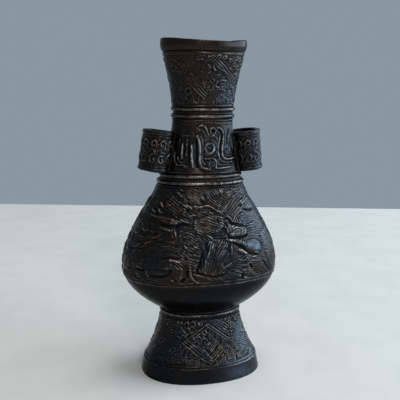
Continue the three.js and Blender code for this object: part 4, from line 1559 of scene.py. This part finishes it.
def braze(name, orange):
    """Braze: orange-brown where it has stayed bare, dark where the patina covers it."""
    tree = Tree(name)
    fine = tree.noise(1800.0, 3.0)
    bare = tree.ramp(tree.noise(260.0, 3.0, 0.6, 0.6), 0.6 - orange * 0.3, 0.78 - orange * 0.3)
    base = tree.mix(bare, colour(0.008, 0.0055, 0.005), colour(0.032, 0.0145, 0.007))
    base = tree.mix(tree.ramp(fine, 0.45, 0.65, 0.0, 0.5), base, colour(0.011, 0.007, 0.005))
    rough = tree.ramp(fine, 0.3, 0.7, 0.42, 0.62)
    tree.shade(Base_Color=base, Metallic=0.8, Roughness=rough, Normal=tree.bump(fine, 0.00008, 0.6))
    return tree.material


def plate_metal(name, tone, rough_low, rough_high):
    """Dull sheet or solder metal with fine scratches and stains."""
    tree = Tree(name)
    fine = tree.noise(1500.0, 3.0)
    dark = colour(*(0.5 * part for part in tone))
    base = tree.mix(tree.ramp(tree.noise(130.0, 4.0, 0.6), 0.4, 0.64), colour(*tone), dark)
    rough = tree.ramp(fine, 0.3, 0.7, rough_low, rough_high)
    tree.shade(Base_Color=base, Metallic=0.7, Roughness=rough, Normal=tree.bump(fine, 0.00006, 0.5))
    return tree.material


# Scene


def floor():
    """A plain pale cloth on a table, whose far edge lies level across the camera's view."""
    ends = ((-1, -FLOOR_REACH), (1, -FLOOR_REACH), (1, FLOOR_BEHIND), (-1, FLOOR_BEHIND))
    cosine, sine = math.cos(FLOOR_TURN), math.sin(FLOOR_TURN)
    corners = []
    for side, ahead in ends:
        across = side * FLOOR_REACH
        corners.append((across * cosine - ahead * sine, across * sine + ahead * cosine, 0))
    mesh = bpy.data.meshes.new("floor")
    mesh.from_pydata(corners, [], [(0, 1, 2, 3)])
    tree = Tree("floor_cloth")
    cloth = tree.ramp(tree.noise(35.0, 2.0), 0.35, 0.65)
    tone = tree.mix(cloth, colour(0.675, 0.632, 0.58), colour(0.715, 0.668, 0.612))
    tree.shade(Base_Color=tone, Roughness=0.9)
    mesh.materials.append(tree.material)
    linked("floor", mesh)


def backdrop():
    """Plain soft light from all round, pale behind the object."""
    world = bpy.data.worlds.new("studio")
    world.use_nodes = True
    shade = world.node_tree.nodes["Background"]
    shade.inputs["Color"].default_value = colour(0.25, 0.31, 0.36)
    shade.inputs["Strength"].default_value = 1.0
    bpy.context.scene.world = world


def lamp(name, place, size, power, tint):
    """A soft lamp of the given width and height, aimed at the middle of the vase."""
    light = bpy.data.lights.new(name, "AREA")
    light.shape = "RECTANGLE"
    light.size, light.size_y = size
    light.energy = power
    light.color = tint
    made = linked(name, light)
    made.location = place
    toward = made.location.copy()
    toward.z -= 0.08
    made.rotation_mode = "QUATERNION"
    made.rotation_quaternion = toward.to_track_quat("Z", "Y")


def camera():
    """The photograph's view: a little above the shoulder and to the left of the front."""
    yaw = math.radians(-15.51)
    pan = yaw + math.radians(0.16)
    pitch, roll = math.radians(10.55), math.radians(0.70)
    distance, height = 277.0, 130.4
    ahead = np.array([-math.sin(pan), math.cos(pan), 0.0])
    right = np.array([math.cos(pan), math.sin(pan), 0.0])
    up = np.array([0.0, 0.0, 1.0])
    forward = ahead * math.cos(pitch) - up * math.sin(pitch)
    upward = ahead * math.sin(pitch) + up * math.cos(pitch)
    rolled_right = right * math.cos(roll) + upward * math.sin(roll)
    rolled_up = upward * math.cos(roll) - right * math.sin(roll)
    data = bpy.data.cameras.new("camera")
    data.sensor_width = 36.0
    data.lens = 56.43
    data.clip_start = 0.01
    made = linked("camera", data)
    matrix = Matrix(np.stack([rolled_right, rolled_up, -forward], 1).tolist()).to_4x4()
    place = np.array([distance * math.sin(yaw), -distance * math.cos(yaw), height])
    matrix.translation = place * MM
    made.matrix_world = matrix
    bpy.context.scene.camera = made


def studio():
    """Camera, floor, backdrop and the three lamps."""
    bpy.context.scene.view_settings.view_transform = "Standard"
    camera()
    floor()
    backdrop()
    lamp("window", (1.28, -0.28, 0.5), (2.2, 1.1), 41.0, (0.60, 0.80, 1.0))
    lamp("overhead", (0.2, -0.1, 1.5), (0.6, 0.6), 5.0, (1.0, 0.93, 0.82))
    lamp("front", (0.0, -1.6, 1.0), (0.5, 0.5), 11.0, (1.0, 0.94, 0.86))


def castings(material):
    """The four castings, from the foot up."""
    foot_section(material)
    joints, band, steps = (WAIST[0], SHOULDER[0]), (45.5, 87.2), (0.9, 0.24, 0.17)
    drawn = body_ornament(), BODY_RELIEF
    middle_casting("body", "body_shell", material, *drawn, joints, band, steps, 16)
    joints, band, steps = (SHOULDER[0], NECK[0]), (92.4, 115.4), (0.15, 0.2, 0.15)
    drawn = neck_ornament(), NECK_RELIEF
    middle_casting("neck", "neck_section", material, *drawn, joints, band, steps, 12)
    mouth_section(material)


def main():
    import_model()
    studio()
    cast_bronze, ear_bronze = bronze("patinated_bronze"), bronze("ear_bronze", 0.15)
    bare_braze, aged_braze = braze("bare_braze", 0.75), braze("aged_braze", 0.2)
    castings(cast_bronze)
    for name, ring in (("waist", WAIST), ("shoulder", SHOULDER), ("neck", NECK)):
        braze_ring(name, ring[0], aged_braze)
    base_plate(plate_metal("base_sheet", (0.03, 0.022, 0.016), 0.5, 0.7))
    base_plate_solder(plate_metal("solder", (0.10, 0.09, 0.08), 0.4, 0.6))
    for side_name, side in (("left", -1), ("right", 1)):
        ear(side, side_name, ear_bronze)
        for face_name, face in (("front", -1), ("back", 1)):
            node = f"{side_name}_ear_{face_name}_seam"
            ear_seam(side, face, f"{side_name}_{face_name}_braze", node, bare_braze)


main()
